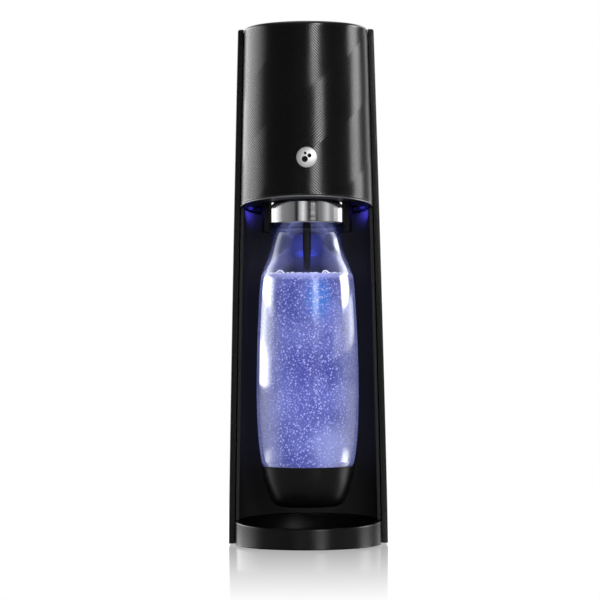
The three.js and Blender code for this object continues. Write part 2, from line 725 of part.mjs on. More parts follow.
// Extrudes an outline in the X-Z plane along Y, about an axis at (x, CAM_Z).
function alongY(points, front, back, x, holeRadius) {
  const shape = new THREE.Shape(points);
  shape.holes = [new THREE.Path(arc(0, 0, holeRadius, holeRadius, 0, 330, 11))];
  const geometry = new THREE.ExtrudeGeometry(shape, { depth: back - front, bevelEnabled: false });
  return geometry.rotateX(Math.PI / 2).translate(x, back, CAM_Z);
}

// The cam's radius grows evenly over its travel, starting straight below its axis.
function camPoints() {
  const points = [];
  const end = CAM.travel + 30;
  for (let angle = 0; angle < 360; angle += 10) {
    const share = Math.max(0, Math.min(1, angle / CAM.travel));
    const radius = angle <= end ? CAM.radius + CAM.rise * share : CAM.radius;
    const place = THREE.MathUtils.degToRad(angle - 90);
    points.push(new THREE.Vector2(radius * Math.cos(place), radius * Math.sin(place)));
  }
  return points;
}

function camGear() {
  const hole = CAM_SHAFT_RADIUS + GAP;
  const cam = alongY(camPoints(), CAM.front, CAM.back, 0, hole);
  const hub = alongY(arc(0, 0, 8, 8, 0, 340, 17), CAM.back - 1, GEAR_FACE.front + 1, 0, hole);
  const gear = alongY(gearPoints(GEAR_TEETH, 0), GEAR_FACE.front, GEAR_FACE.back, 0, hole);
  return join(cam, hub, gear);
}

function motorPinion() {
  const points = gearPoints(PINION_TEETH, 180 / PINION_TEETH);
  const hole = MOTOR_SHAFT_RADIUS + 0.3;
  return alongY(points, GEAR_FACE.front - 1, GEAR_FACE.back + 0.5, PINION_X, hole);
}

function motor() {
  const { radius, front, back } = MOTOR;
  const can = bar(radius, [PINION_X, front, CAM_Z], back - front, 'y', 24);
  const boss = bar(4, [PINION_X, back - 1, CAM_Z], 2.6, 'y', 20);
  const shaft = bar(MOTOR_SHAFT_RADIUS, [PINION_X, back, CAM_Z], GEAR_FACE.back + 1.5 - back, 'y', 12);
  return join(can, boss, shaft);
}

function gearBracket() {
  const plate = box(-12, 31.4, 46, 48.4, BLOCK.top + GAP, 424);
  const shaftHole = bar(MOTOR_SHAFT_RADIUS + GAP, [PINION_X, 44, CAM_Z], 6, 'y', 12);
  const camHole = bar(CAM_SHAFT_RADIUS + 0.3, [0, 44, CAM_Z], 6, 'y', 16);
  return cut(plate, shaftHole, camHole);
}

add('cam_gear', camGear(), NYLON);
add('motor_pinion', motorPinion(), BRASS);
add('cam_shaft', bar(CAM_SHAFT_RADIUS, [0, 44.8, CAM_Z], 17, 'y', 16), STEEL);
add('dose_motor', motor(), STEEL);
add('gear_bracket', gearBracket(), INNER_GREY);

// ---- rear cover ----
const RELEASE = { z: 404, halfWidth: 11, halfHeight: 5.5 };
const COVER_TOP_INSIDE = HEIGHT - COVER_WALL;

function coverOutline(inset, front) {
  const x = HALF_WIDTH - COVER_CORNER;
  const y = BACK_Y - COVER_CORNER;
  const corner = COVER_CORNER - inset;
  return [
    new THREE.Vector2(-HALF_WIDTH + inset, front),
    new THREE.Vector2(HALF_WIDTH - inset, front),
    ...arc(x, y, corner, corner, 0, 90, 7),
    ...arc(-x, y, corner, corner, 90, 180, 7),
  ];
}

function rearCover() {
  const outer = narrowed(prism(coverOutline(0, COVER_FRONT_Y), COVER_BOTTOM, HEIGHT, 5));
  const inner = narrowed(prism(coverOutline(COVER_WALL, COVER_FRONT_Y - 8), -5, COVER_TOP_INSIDE, 5));
  const window = box(INLET.x - 6.4, INLET.x + 6.4, 80, 100, -5, INLET.z + 7);
  const { z, halfWidth, halfHeight } = RELEASE;
  const buttonHole = box(-halfWidth, halfWidth, 80, 100, z - halfHeight, z + halfHeight);
  const tabs = [-1, 1].map((side) => {
    const x = side * COVER_HINGE.x;
    return box(x - 5, x + 5, COVER_HINGE.y - 2.8, BACK_Y - COVER_WALL + 0.5, COVER_BOTTOM, COVER_HINGE.z + 4);
  });
  const pins = [-1, 1].map((side) => {
    const start = [side * COVER_HINGE.x - 8, COVER_HINGE.y, COVER_HINGE.z];
    return bar(COVER_PIN_RADIUS + GAP, start, 16, 'x', 12);
  });
  return cut(join(cut(outer, inner, window, buttonHole), ...tabs), ...pins);
}

function coverRelease() {
  const { z, halfWidth, halfHeight } = RELEASE;
  const x = halfWidth - GAP;
  const reach = halfHeight - GAP;
  const cap = box(-x, x, 91, BACK_Y - 0.2, z - reach, z + reach);
  const tongue = box(-8, 8, 88.6, 91.5, z - 3, z + 3);
  return join(cap, tongue);
}

add('rear_cover', rearCover(), SATIN_BLACK);
add('cover_release', coverRelease(), GLOSS_BLACK);

export default object;
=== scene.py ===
import json
import math
import random

import bmesh
import bpy
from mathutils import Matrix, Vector


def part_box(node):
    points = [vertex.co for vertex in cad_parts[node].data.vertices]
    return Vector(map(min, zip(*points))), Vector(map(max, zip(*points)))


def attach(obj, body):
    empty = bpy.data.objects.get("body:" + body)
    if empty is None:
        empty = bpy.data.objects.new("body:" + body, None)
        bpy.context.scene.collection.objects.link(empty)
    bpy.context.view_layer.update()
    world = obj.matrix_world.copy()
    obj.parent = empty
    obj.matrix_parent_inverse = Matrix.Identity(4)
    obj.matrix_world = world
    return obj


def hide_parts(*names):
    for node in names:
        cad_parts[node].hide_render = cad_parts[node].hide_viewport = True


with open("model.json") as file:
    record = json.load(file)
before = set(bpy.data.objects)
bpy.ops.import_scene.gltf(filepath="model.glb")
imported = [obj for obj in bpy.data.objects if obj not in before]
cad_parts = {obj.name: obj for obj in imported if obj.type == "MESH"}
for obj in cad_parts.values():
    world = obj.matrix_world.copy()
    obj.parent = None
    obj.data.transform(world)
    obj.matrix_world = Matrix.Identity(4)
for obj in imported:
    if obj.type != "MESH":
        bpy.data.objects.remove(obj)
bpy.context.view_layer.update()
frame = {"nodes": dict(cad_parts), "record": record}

# Lengths below are millimetres until a mesh is made. The axes are the CAD model's: +Z up, front at -Y.
MM = 0.001
NODES = frame["nodes"]


def box_mm(node):
    low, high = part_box(node)
    return low / MM, high / MM


def middle(node):
    low, high = box_mm(node)
    return (low + high) / 2


# ---- driving sizes: the boxes come from the frame, and the rest repeat the CAD model's curves ----
PANEL_LOW, PANEL_HIGH = box_mm("right_side_panel")
COVER_LOW, COVER_HIGH = box_mm("rear_cover")
BASE_LOW, BASE_HIGH = box_mm("base_shell")
HEAD_HIGH = box_mm("head_front_cover")[1]
TRAY_LOW = box_mm("drip_tray")[0]
HEIGHT = HEAD_HIGH.z
NARROWING = 9.5
NARROWING_POWER = 1.2
RIGID_RADIUS = 50
HALF_WIDTH = 66.5
SHELL_RADIUS = 61
AXIS_Y = (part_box("bottle_body")[0].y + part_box("bottle_body")[1].y) / 2 / MM
FRONT_Y = AXIS_Y - SHELL_RADIUS
RIM_FRONT_Z = 17.9
RIM_SLOPE = 0.046
HEAD_EDGE_Z = 282.1
HEAD_SLOPE = 0.103
WALL = 2.5
BAY_DEPTH = 52


def side_shift(z):
    """How far the sides have leaned in at a height."""
    return NARROWING * max(0, z / HEIGHT) ** NARROWING_POWER


def narrowed(x, y, z):
    """A place moved inwards with the lean of the sides and of the round front."""
    forward = min(0, y - AXIS_Y)
    reach = math.hypot(x, forward)
    if reach == 0:
        return x, y, z
    scale = 1 - side_shift(z) * min(1, reach / RIGID_RADIUS) / reach
    return x * scale, y + forward * (scale - 1), z


def rim_height(y):
    return RIM_FRONT_Z + RIM_SLOPE * (y - FRONT_Y)


def head_edge(y):
    return HEAD_EDGE_Z - HEAD_SLOPE * (y - AXIS_Y)


# ---- mesh helpers ----
def add_object(name, data):
    made = bpy.data.objects.new(name, data)
    bpy.context.scene.collection.objects.link(made)
    return made


def sided(name, side):
    return ("right_" if side > 0 else "left_") + name


SHARP_ANGLE = 30


def make_piece(name, points, faces, material, body, nodes=(), sharp=SHARP_ANGLE, flat_faces=()):
    """A mesh object from millimetre points, which rides on a body and stands for CAD nodes."""
    mesh = bpy.data.meshes.new(name)
    mesh.from_pydata([tuple(c * MM for c in point) for point in points], [], faces)
    mesh.validate()
    mesh.shade_smooth()
    clean = bmesh.new()
    clean.from_mesh(mesh)
    bmesh.ops.recalc_face_normals(clean, faces=clean.faces)
    clean.to_mesh(mesh)
    clean.free()
    mesh.set_sharp_from_angle(angle=math.radians(sharp))
    for index in flat_faces:
        mesh.polygons[index].use_smooth = False
    piece = add_object(name, mesh)
    mesh.materials.append(material)
    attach(piece, body)
    if nodes:
        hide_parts(*nodes)
    return piece


def bevel(piece, width, angle):
    modifier = piece.modifiers.new("edges", "BEVEL")
    modifier.width = width * MM
    modifier.segments = 3
    modifier.limit_method = "ANGLE"
    modifier.angle_limit = math.radians(angle)
    modifier.harden_normals = True


def loft(name, loops, material, body, nodes=(), sharp=SHARP_ANGLE):
    """A closed solid through loops of equal length, capped at both ends."""
    columns = len(loops[0])
    points = [point for loop in loops for point in loop]
    faces = []
    for start in range(0, len(points) - columns, columns):
        for column in range(columns):
            here, beside = start + column, start + (column + 1) % columns
            faces.append((here, beside, beside + columns, here + columns))
    faces.append(tuple(range(columns)))
    faces.append(tuple(range(len(points) - columns, len(points))))
    return make_piece(name, points, faces, material, body, nodes, sharp)


ON_AXIS = 1e-6


def lathe(name, profile, centre, material, body, nodes=(), segments=96):
    """A turned solid about a vertical axis: profile is a closed outline, or one that ends on the axis."""
    x0, y0 = centre
    points, faces, rows = [], [], []
    for radius, z in profile:
        if radius < ON_AXIS:
            rows.append([len(points)] * segments)
            points.append((x0, y0, z))
            continue
        rows.append(list(range(len(points), len(points) + segments)))
        for step in range(segments):
            angle = 2 * math.pi * step / segments
            points.append((x0 + radius * math.cos(angle), y0 + radius * math.sin(angle), z))
    pairs = list(zip(rows, rows[1:]))
    if profile[0][0] > ON_AXIS or profile[-1][0] > ON_AXIS:
        pairs.append((rows[-1], rows[0]))
    for lower, upper in pairs:
        for step in range(segments):
            after = (step + 1) % segments
            corners = [lower[step], lower[after], upper[after], upper[step]]
            face = [c for i, c in enumerate(corners) if c not in corners[:i]]
            if len(face) > 2:
                faces.append(tuple(face))
    return make_piece(name, points, faces, material, body, nodes)


def arc(x, y, radius_x, radius_y, start, end, pieces):
    """Points along an elliptical arc, with its angles in degrees."""
    angles = [math.radians(start + (end - start) * i / pieces) for i in range(pieces + 1)]
    return [(x + radius_x * math.cos(a), y + radius_y * math.sin(a)) for a in angles]


def curve_through(points, pieces):
    """Catmull-Rom points through a few places, for a smooth turned outline."""
    result = []
    padded = [points[0], *points, points[-1]]
    for p0, p1, p2, p3 in zip(padded, padded[1:], padded[2:], padded[3:]):
        for step in range(pieces):
            t = step / pieces
            result.append(tuple(
                0.5 * (2 * b + (c - a) * t + (2 * a - 5 * b + 4 * c - d) * t ** 2
                       + (3 * b - a - 3 * c + d) * t ** 3)
                for a, b, c, d in zip(p0, p1, p2, p3)))
    result.append(tuple(points[-1]))
    return result


# ---- materials ----
def link(tree, source, output, target, socket):
    tree.links.new(source.outputs[output], target.inputs[socket])


def add_node(tree, kind, **values):
    """A shader node with its input sockets set by name."""
    node = tree.nodes.new(kind)
    for socket, value in values.items():
        node.inputs[socket.replace("_", " ")].default_value = value
    return node


def plain_material(name, colour, roughness, metallic=0.0, specular=0.5):
    material = bpy.data.materials.new(name)
    material.use_nodes = True
    shader = material.node_tree.nodes["Principled BSDF"]
    shader.inputs["Base Color"].default_value = (*colour, 1)
    shader.inputs["Roughness"].default_value = roughness
    shader.inputs["Metallic"].default_value = metallic
    shader.inputs["Specular IOR Level"].default_value = specular
    return material, material.node_tree, shader


def object_place(tree, scale, shift=(0, 0, 0)):
    """Places in the object's own space, scaled and then shifted."""
    place = tree.nodes.new("ShaderNodeTexCoord")
    mapping = add_node(tree, "ShaderNodeMapping", Scale=scale, Location=shift)
    link(tree, place, "Object", mapping, "Vector")
    return mapping


def object_noise(tree, size, stretch=(1, 1, 1), detail=3.0):
    """Noise whose features are about size millimetres, stretched along an axis where asked."""
    mapping = object_place(tree, stretch)
    noise = add_node(tree, "ShaderNodeTexNoise", Scale=1 / (size * MM), Detail=detail)
    link(tree, mapping, "Vector", noise, "Vector")
    return noise


def spread(tree, source, output, target, socket, low, high, start=0.3, end=0.7):
    """Feeds a 0-to-1 value into a socket as a range from low to high."""
    span = add_node(tree, "ShaderNodeMapRange", From_Min=start, From_Max=end, To_Min=low, To_Max=high)
    link(tree, source, output, span, "Value")
    link(tree, span, "Result", target, socket)


def tint(tree, source, shader, colour, amount):
    """Lets the colour wander a little about its mean, as in a moulded or rolled surface."""
    darker, lighter = (tuple(c * share for c in colour) for share in (1 - amount, 1 + amount))
    blend = ramp(tree, source.outputs["Fac"], [(0.3, darker), (0.7, lighter)])
    tree.links.new(blend, shader.inputs["Base Color"])


def relief(tree, noise, shader, depth):
    """Raises the surface by a noise, to a depth in millimetres."""
    bump = add_node(tree, "ShaderNodeBump", Strength=1.0, Distance=depth * MM)
    link(tree, noise, "Fac", bump, "Height")
    link(tree, bump, "Normal", shader, "Normal")


def moulded(name, colour, roughness, grain=0.5, depth=0.01, specular=0.5):
    """Moulded plastic or rubber: a fine grain, and a little unevenness in gloss and shade."""
    material, tree, shader = plain_material(name, colour, roughness, specular=specular)
    fine = object_noise(tree, grain)
    broad = object_noise(tree, 40, detail=2.0)
    relief(tree, fine, shader, depth)
    spread(tree, broad, "Fac", shader, "Roughness", roughness * 0.9, roughness * 1.12)
    tint(tree, fine, shader, colour, 0.12)
    return material


def brushed(name, colour, roughness, stretch, depth=0.004):
    """Metal with fine brushing lines that run along the axis with the small stretch."""
    material, tree, shader = plain_material(name, colour, roughness, metallic=1.0)
    lines = object_noise(tree, 0.35, stretch, detail=4.0)
    relief(tree, lines, shader, depth)
    spread(tree, lines, "Fac", shader, "Roughness", roughness * 0.75, roughness * 1.3)
    tint(tree, lines, shader, colour, 0.07)
    return material


def glowing(name, colour, strength):
    material, tree, shader = plain_material(name, colour, 0.3)
    shader.inputs["Emission Color"].default_value = (*colour, 1)
    grain = object_noise(tree, 2.0)
    spread(tree, grain, "Fac", shader, "Emission Strength", strength * 0.8, strength * 1.2)
    return material


def clear_plastic(name, low, high):
    """Clear wall: seen through straight on, and glossier where it turns away."""
    material, tree, shader = plain_material(name, (0.93, 0.95, 1.0), 0.05, metallic=1.0)
    edge = add_node(tree, "ShaderNodeLayerWeight", Blend=0.5)
    waves = object_noise(tree, 14.0, detail=1.0)
    relief(tree, waves, shader, 0.05)
    spread(tree, edge, "Facing", shader, "Alpha", low, high, start=0.1, end=0.5)
    return material


def painted_glow_foam(name):
    """Thin pale bubble walls with a painted glow: brighter towards their edges."""
    material, tree, shader = plain_material(name, (0.8, 0.82, 0.95), 0.12)
    # The foam glows though it is no lamp: painted light.
    shader.inputs["Emission Color"].default_value = (0.8, 0.82, 1.0, 1)
    shader.inputs["Emission Strength"].default_value = 1.1
    edge = add_node(tree, "ShaderNodeLayerWeight", Blend=0.5)
    spread(tree, edge, "Facing", shader, "Alpha", 0.08, 0.95, start=0.15, end=0.75)
    return material


def ramp(tree, value, stops):
    """A colour ramp over an output socket: stops are (position, colour)."""
    node = tree.nodes.new("ShaderNodeValToRGB")
    elements = node.color_ramp.elements
    for index, (position, colour) in enumerate(stops):
        element = elements[index] if index < 2 else elements.new(position)
        element.position = position
        element.color = (*colour, 1)
    tree.links.new(value, node.inputs["Fac"])
    return node.outputs["Color"]


def mixed(tree, first, second, factor):
    """Two colours mixed by a 0-to-1 output socket."""
    node = tree.nodes.new("ShaderNodeMix")
    node.data_type = "RGBA"
    for value, socket in ((first, node.inputs[6]), (second, node.inputs[7])):
        if isinstance(value, tuple):
            socket.default_value = (*value, 1)
        else:
            tree.links.new(value, socket)
    tree.links.new(factor, node.inputs[0])
    return node.outputs[2]


def rising(tree, value, start, end, kind="SMOOTHSTEP"):
    """0 where a value is at the start of a range, and 1 at its end."""
    step = add_node(tree, "ShaderNodeMapRange", From_Min=start, From_Max=end, To_Min=0.0, To_Max=1.0)
    step.interpolation_type = kind
    tree.links.new(value, step.inputs["Value"])
    return step.outputs["Result"]


def patch(tree, centre, radius):
    """1 at a place in the object, fading to 0 at a distance: an ellipsoid, in millimetres."""
    scale = [1 / (r * MM) for r in radius]
    mapping = object_place(tree, scale, [-c / r for c, r in zip(centre, radius)])
    length = tree.nodes.new("ShaderNodeVectorMath")
    length.operation = "LENGTH"
    link(tree, mapping, "Vector", length, "Vector")
    return rising(tree, length.outputs["Value"], 1.0, 0.2)


def specks(tree, spacing, threshold, edge):
    """Round dots scattered through the object: 1 inside a dot."""
    place = tree.nodes.new("ShaderNodeTexCoord")
    cells = add_node(tree, "ShaderNodeTexVoronoi", Scale=1 / (spacing * MM))
    link(tree, place, "Object", cells, "Vector")
    return rising(tree, cells.outputs["Distance"], threshold, threshold - edge, "LINEAR")


def maths(tree, operation, *inputs):
    """A maths node on nodes' outputs or plain numbers; gives its output socket."""
    node = tree.nodes.new("ShaderNodeMath")
    node.operation = operation
    for index, value in enumerate(inputs):
        if isinstance(value, (int, float)):
            node.inputs[index].default_value = value
        else:
            tree.links.new(value, node.inputs[index])
    return node.outputs["Value"]


# The water's colours below also drive its painted glow.
WATER_DEEP = (0.062, 0.074, 0.32)
WATER_PALE = (0.16, 0.185, 0.5)
WATER_GLINT = (0.45, 0.47, 0.85)
WATER_PAINTED_GLOW = 0.85
# Colour, centre and reach in millimetres, and strength of the painted lit and painted shaded places in the
# glowing water.
WATER_PAINTED_LIGHT = [
    ((0.03, 0.15, 0.52), (9, AXIS_Y - 40, 206), (15, 40, 26), 0.85),
    ((0.05, 0.055, 0.33), (0, AXIS_Y - 42, 128), (26, 40, 55), 0.6),
    ((0.3, 0.33, 0.6), (24, AXIS_Y - 30, 80), (28, 60, 36), 0.65),
    ((0.27, 0.3, 0.6), (-34, AXIS_Y - 24, 110), (18, 60, 130), 0.5),
    ((0.27, 0.3, 0.6), (40, AXIS_Y - 20, 130), (18, 60, 150), 0.5),
    ((0.42, 0.45, 0.8), (0, AXIS_Y, 226), (90, 90, 6.5), 0.85),
]
# Spacing in millimetres, size and soft edge as shares of it, and strength of each layer of specks: bubbles
# drawn as glowing dots, a painted glint.
BUBBLE_GLINT_LAYERS = [(3.2, 0.27, 0.1, 0.9), (2.2, 0.3, 0.14, 0.8), (1.4, 0.3, 0.16, 0.5)]


def sparkling(name):
    """Fizzy water with a painted glow: cloudy blue-violet with round specks, painted lit and shaded places
    such as an azure patch by the nozzle, and a pale foot.
    """
    material, tree, shader = plain_material(name, WATER_DEEP, 0.3)
    clouds = object_noise(tree, 30.0, detail=3.0)
    body = ramp(tree, clouds.outputs["Fac"], [(0.34, WATER_DEEP), (0.68, WATER_PALE)])
    for colour, centre, radius, strength in WATER_PAINTED_LIGHT:
        body = mixed(tree, body, colour, maths(tree, "MULTIPLY", patch(tree, centre, radius), strength))
    for spacing, threshold, edge, strength in BUBBLE_GLINT_LAYERS:
        dots = specks(tree, spacing, threshold, edge)
        body = mixed(tree, body, WATER_GLINT, maths(tree, "MULTIPLY", dots, strength))
    tree.links.new(body, shader.inputs["Base Color"])
    # The water glows though it is no lamp: painted light.
    tree.links.new(body, shader.inputs["Emission Color"])
    shader.inputs["Emission Strength"].default_value = WATER_PAINTED_GLOW
    return material


SHELL_BLACK = moulded("shell_black_plastic", (0.004, 0.004, 0.0042), 0.25)
BAY_BLACK = moulded("bay_black_plastic", (0.024, 0.024, 0.025), 0.5, specular=0.12)
HEAD_BLACK = moulded("head_black_plastic", (0.01, 0.01, 0.0104), 0.2, depth=0.002, specular=0.8)
# A darker plastic for the rib facets that look down: painted shade.
RIB_PAINTED_SHADE = moulded("rib_painted_shade", (0.001, 0.001, 0.0011), 0.3, specular=0.15)
LIP_METAL = plain_material("lip_dark_metal", (0.4, 0.4, 0.41), 0.3, metallic=1.0)[0]
DEEP_BLACK = moulded("deep_black_plastic", (0.004, 0.004, 0.0044), 0.4, specular=0.2)
GLOSS_BLACK = moulded("gloss_black_plastic", (0.003, 0.003, 0.0033), 0.18, depth=0.002)
MATTE_BLACK = moulded("matte_black_plastic", (0.006, 0.006, 0.0065), 0.5, grain=0.8, depth=0.02)
CUP_BLACK = moulded("cup_black_plastic", (0.005, 0.005, 0.0054), 0.3, grain=0.8, depth=0.015)
INNER_GREY = moulded("inner_grey_plastic", (0.05, 0.052, 0.056), 0.55)
RUBBER = moulded("soft_rubber", (0.02, 0.02, 0.021), 0.8, grain=1.2, depth=0.03)
SILICONE = moulded("silicone", (0.28, 0.3, 0.33), 0.5)
NYLON = moulded("white_nylon", (0.72, 0.7, 0.63), 0.42)
BOARD = moulded("board_lacquer", (0.01, 0.09, 0.04), 0.35)
LEVER_PINK = moulded("lever_pink_plastic", (0.5, 0.02, 0.16), 0.35)
COLLAR_METAL = brushed("collar_metal", (0.72, 0.72, 0.74), 0.1, (0.04, 0.04, 1.0), depth=0.0015)
BADGE_METAL = brushed("badge_metal", (0.85, 0.85, 0.86), 0.4, (0.05, 1.0, 1.0))
BUTTON_METAL = brushed("button_metal", (0.45, 0.45, 0.47), 0.3, (0.05, 1.0, 1.0))
STEEL = brushed("steel", (0.5, 0.5, 0.52), 0.32, (1.0, 1.0, 0.06))
CYLINDER_METAL = brushed("cylinder_metal", (0.58, 0.6, 0.62), 0.35, (0.05, 0.05, 1.0))
BRASS = brushed("brass", (0.62, 0.44, 0.16), 0.3, (0.05, 0.05, 1.0), depth=0.003)
LENS_BLUE = glowing("light_lens_blue", (0.1, 0.12, 1.0), 0.08)
CLEAR = clear_plastic("clear_bottle_plastic", 0.012, 0.4)
WATER = sparkling("sparkling_water_painted_glow")
# The fine bubbles glow though they are no lamp: painted light.
BUBBLE = glowing("bubble_painted_glow", (0.42, 0.45, 0.85), 0.75)
FOAM = painted_glow_foam("foam_bubble_skin")


# ---- plan outlines and carving ----
def body_outline(half_width, back_y, corner, inset=0.0):
    """Round front, straight sides and rounded back corners, moved inwards by an inset."""
    x = half_width - corner
    y = back_y - corner
    radius = half_width - inset
    corner = max(corner - inset, 0.1)
    return [*arc(0, AXIS_Y, radius, radius, 180, 360, 96),
            *arc(x, y, corner, corner, 0, 90, 16), *arc(-x, y, corner, corner, 90, 180, 16)]


def bay_outline(half_width, depth):
    """Round front, and a half-ellipse behind the bottle's axis."""
    back = arc(0, AXIS_Y, half_width, depth, 0, 180, 96)
    return [*arc(0, AXIS_Y, half_width, half_width, 180, 360, 96), *back[1:-1]]


def level(outline, height, lean=True):
    """One loop of a loft: an outline at a height, which may depend on y."""
    loop = []
    for x, y in outline:
        z = height(y) if callable(height) else height
        loop.append(narrowed(x, y, z) if lean else (x, y, z))
    return loop


def carve(piece, cutters):
    """Cuts the cutters out of a piece and applies the result to its mesh."""
    for cutter in cutters:
        modifier = piece.modifiers.new("cut", "BOOLEAN")
        modifier.operation = "DIFFERENCE"
        modifier.solver = "EXACT"
        modifier.object = cutter
    shaped = piece.evaluated_get(bpy.context.evaluated_depsgraph_get())
    mesh = bpy.data.meshes.new_from_object(shaped)
    piece.modifiers.clear()
    piece.data = mesh
    for polygon in mesh.polygons:
        polygon.use_smooth = True
    mesh.set_sharp_from_angle(angle=math.radians(SHARP_ANGLE))
    for cutter in cutters:
        bpy.data.objects.remove(cutter)
    return piece


def cutter_loft(loops):
    return loft("cutter", loops, INNER_GREY, "housing")


def cutter_box(low, high):
    corners = [(low[0], low[1]), (high[0], low[1]), (high[0], high[1]), (low[0], high[1])]
    return cutter_loft([[(x, y, z) for x, y in corners] for z in (low[2], high[2])])


def cutter_bar(start, radius, length, axis, sides=48):
    loops = []
    for along in (0, length):
        loop = []
        for step in range(sides):
            a = 2 * math.pi * step / sides
            u, v = radius * math.cos(a), radius * math.sin(a)
            offset = {"x": (along, u, v), "y": (u, along, v), "z": (u, v, along)}[axis]
            loop.append(tuple(s + o for s, o in zip(start, offset)))
        loops.append(loop)
    return cutter_loft(loops)


# ---- head ----
RIB_COLUMNS = 140
RIB_ROWS = 120
RIB_DEPTH = 0.036
RIBS_ABOVE_EDGE = 2.2
RIBS_BELOW_FILLET = 0.6
HEAD_FILLET = 2.3
FILLET_STEPS = 6
FLANK_POINTS = 2
FLANK_START = 8
HEAD_COLUMNS = RIB_COLUMNS + 1 + 2 * FLANK_POINTS
# The broad bands in which the ribs lean one way or the other, in millimetres and rise over run.
ZONE_HEIGHT = 56
ZONE_SLOPE = 0.8
ZONE_START = -20
ZONE_WRAP = 0.9
LIP_SIZE = 0.55


def rib_leans_right(column, row):
    """Which way the ribs lean in one cell: broad sloping bands of alternating direction."""
    across = (column / RIB_COLUMNS - 0.5) * math.pi * SHELL_RADIUS * ZONE_WRAP
    up = row / RIB_ROWS * (HEIGHT - HEAD_EDGE_Z)
    return math.floor((up - ZONE_SLOPE * across - ZONE_START) / ZONE_HEIGHT) % 2 == 1


def rib_height(share):
    """The height of one row of rib corners, from the lower edge at 0 to the top fillet at 1."""
    top = HEIGHT - HEAD_FILLET - RIBS_BELOW_FILLET
    return lambda y: (head_edge(y) + RIBS_ABOVE_EDGE) * (1 - share) + top * share


def head_rows():
    """Inset and height of each row of points, up the outside and down the inside, and the first rib row."""
    rows = [(1.4, head_edge), (0.5, head_edge), (0.15, lambda y: head_edge(y) + 0.15),
            (0.0, lambda y: head_edge(y) + 0.5), (0.0, lambda y: head_edge(y) + 1.8)]
    first_rib = len(rows)
    rows += [(0.0, rib_height(step / RIB_ROWS)) for step in range(RIB_ROWS + 1)]
    for step in range(FILLET_STEPS + 1):
        turn = math.radians(90 * step / FILLET_STEPS)
        z = HEIGHT - HEAD_FILLET + HEAD_FILLET * math.sin(turn)
        rows.append((HEAD_FILLET * (1 - math.cos(turn)), lambda y, z=z: z))
    rows += [(WALL, lambda y: HEIGHT), (WALL, lambda y: HEIGHT - 3),
             (WALL, lambda y: head_edge(y) + 40), (WALL, head_edge)]
    return rows, first_rib


def head_points(rows, first_rib):
    """The cover's points: among the ribs, every second one is pushed in by the depth of a rib."""
    points = []
    for index, (inset, height) in enumerate(rows):
        radius = SHELL_RADIUS - inset
        dent = 1 - RIB_DEPTH / radius
        front = arc(0, AXIS_Y, radius, radius, 180, 360, RIB_COLUMNS)
        plan = [(-radius, HEAD_HIGH.y), (-radius, AXIS_Y + FLANK_START), *front,
                (radius, AXIS_Y + FLANK_START), (radius, HEAD_HIGH.y)]
        in_ribs = first_rib < index < first_rib + RIB_ROWS
        for column, (x, y) in enumerate(plan):
            z = height(y)
            at_front = FLANK_POINTS < column < HEAD_COLUMNS - FLANK_POINTS - 1
            if in_ribs and at_front and (column + index) % 2:
                x, y = x * dent, AXIS_Y + (y - AXIS_Y) * dent
            points.append(narrowed(x, y, z))
    return points


def head_faces(row_count, first_rib):
    """The cover's faces, with the numbers of its flat rib facets and of the facets that look down, which get
    painted shade.
    """
    faces, flat, shaded = [], [], []
    for row in range(row_count):
        after = (row + 1) % row_count
        for column in range(HEAD_COLUMNS - 1):
            a, b = row * HEAD_COLUMNS + column, row * HEAD_COLUMNS + column + 1
            c, d = after * HEAD_COLUMNS + column + 1, after * HEAD_COLUMNS + column
            at_front = FLANK_POINTS <= column < HEAD_COLUMNS - FLANK_POINTS - 1
            if not (at_front and first_rib <= row < first_rib + RIB_ROWS):
                faces.append((a, b, c, d))
                continue
            leans_right = rib_leans_right(column - FLANK_POINTS, row - first_rib)
            first_looks_down = leans_right == ((column + row) % 2 == 0)
            flat += [len(faces), len(faces) + 1]
            shaded.append(len(faces) if first_looks_down else len(faces) + 1)
            faces += [(a, b, c), (a, c, d)] if leans_right else [(a, b, d), (b, c, d)]
    for end in (0, HEAD_COLUMNS - 1):
        faces.append(tuple(row * HEAD_COLUMNS + end for row in range(row_count)))
    return faces, flat, shaded


def head_cover():
    rows, first_rib = head_rows()
    faces, flat, shaded = head_faces(len(rows), first_rib)
    cover = make_piece("ribbed_head_cover", head_points(rows, first_rib), faces, HEAD_BLACK, "housing",
                       ["head_front_cover"], flat_faces=flat)
    # The rib facets that look down get the darker material: painted shade.
    cover.data.materials.append(RIB_PAINTED_SHADE)
    for index in shaded:
        cover.data.polygons[index].material_index = 1


def head_lip():
    """A thin bright bead around the lower edge of the head."""
    loops = []
    for across, forward in arc(0, 0, 1, 1, 182, 358, 96):
        loop = []
        for step in range(8):
            turn = math.radians(45 * step)
            radius = SHELL_RADIUS - 0.25 + LIP_SIZE * math.cos(turn)
            x, y = across * radius, AXIS_Y + forward * radius
            loop.append(narrowed(x, y, head_edge(y) + 0.2 + LIP_SIZE * math.sin(turn)))
        loops.append(loop)
    loft("head_lip_bead", loops, LIP_METAL, "housing", sharp=60)


BUTTON_NAMES = ("low_fizz_button", "medium_fizz_button", "high_fizz_button")
BUTTON_RADIUS = 7.2
BUTTON_GAP = 0.35
STEM_RADIUS = 3
DOT_SPACING = 2.6


def top_cover():
    low, high = box_mm("top_cover")
    half_width = SHELL_RADIUS - WALL - 0.4
    loops = [level(body_outline(half_width, high.y, 1.5, inset), z)
             for inset, z in ((0, low.z), (0, high.z - 0.8), (0.25, high.z - 0.25), (0.9, high.z))]
    plate = loft("top_cover_plate", loops, GLOSS_BLACK, "housing", ["top_cover"])
    centres = [middle(name) for name in BUTTON_NAMES]
    carve(plate, [cutter_bar((c.x, c.y, low.z - 2), BUTTON_RADIUS + BUTTON_GAP, 10, "z") for c in centres])


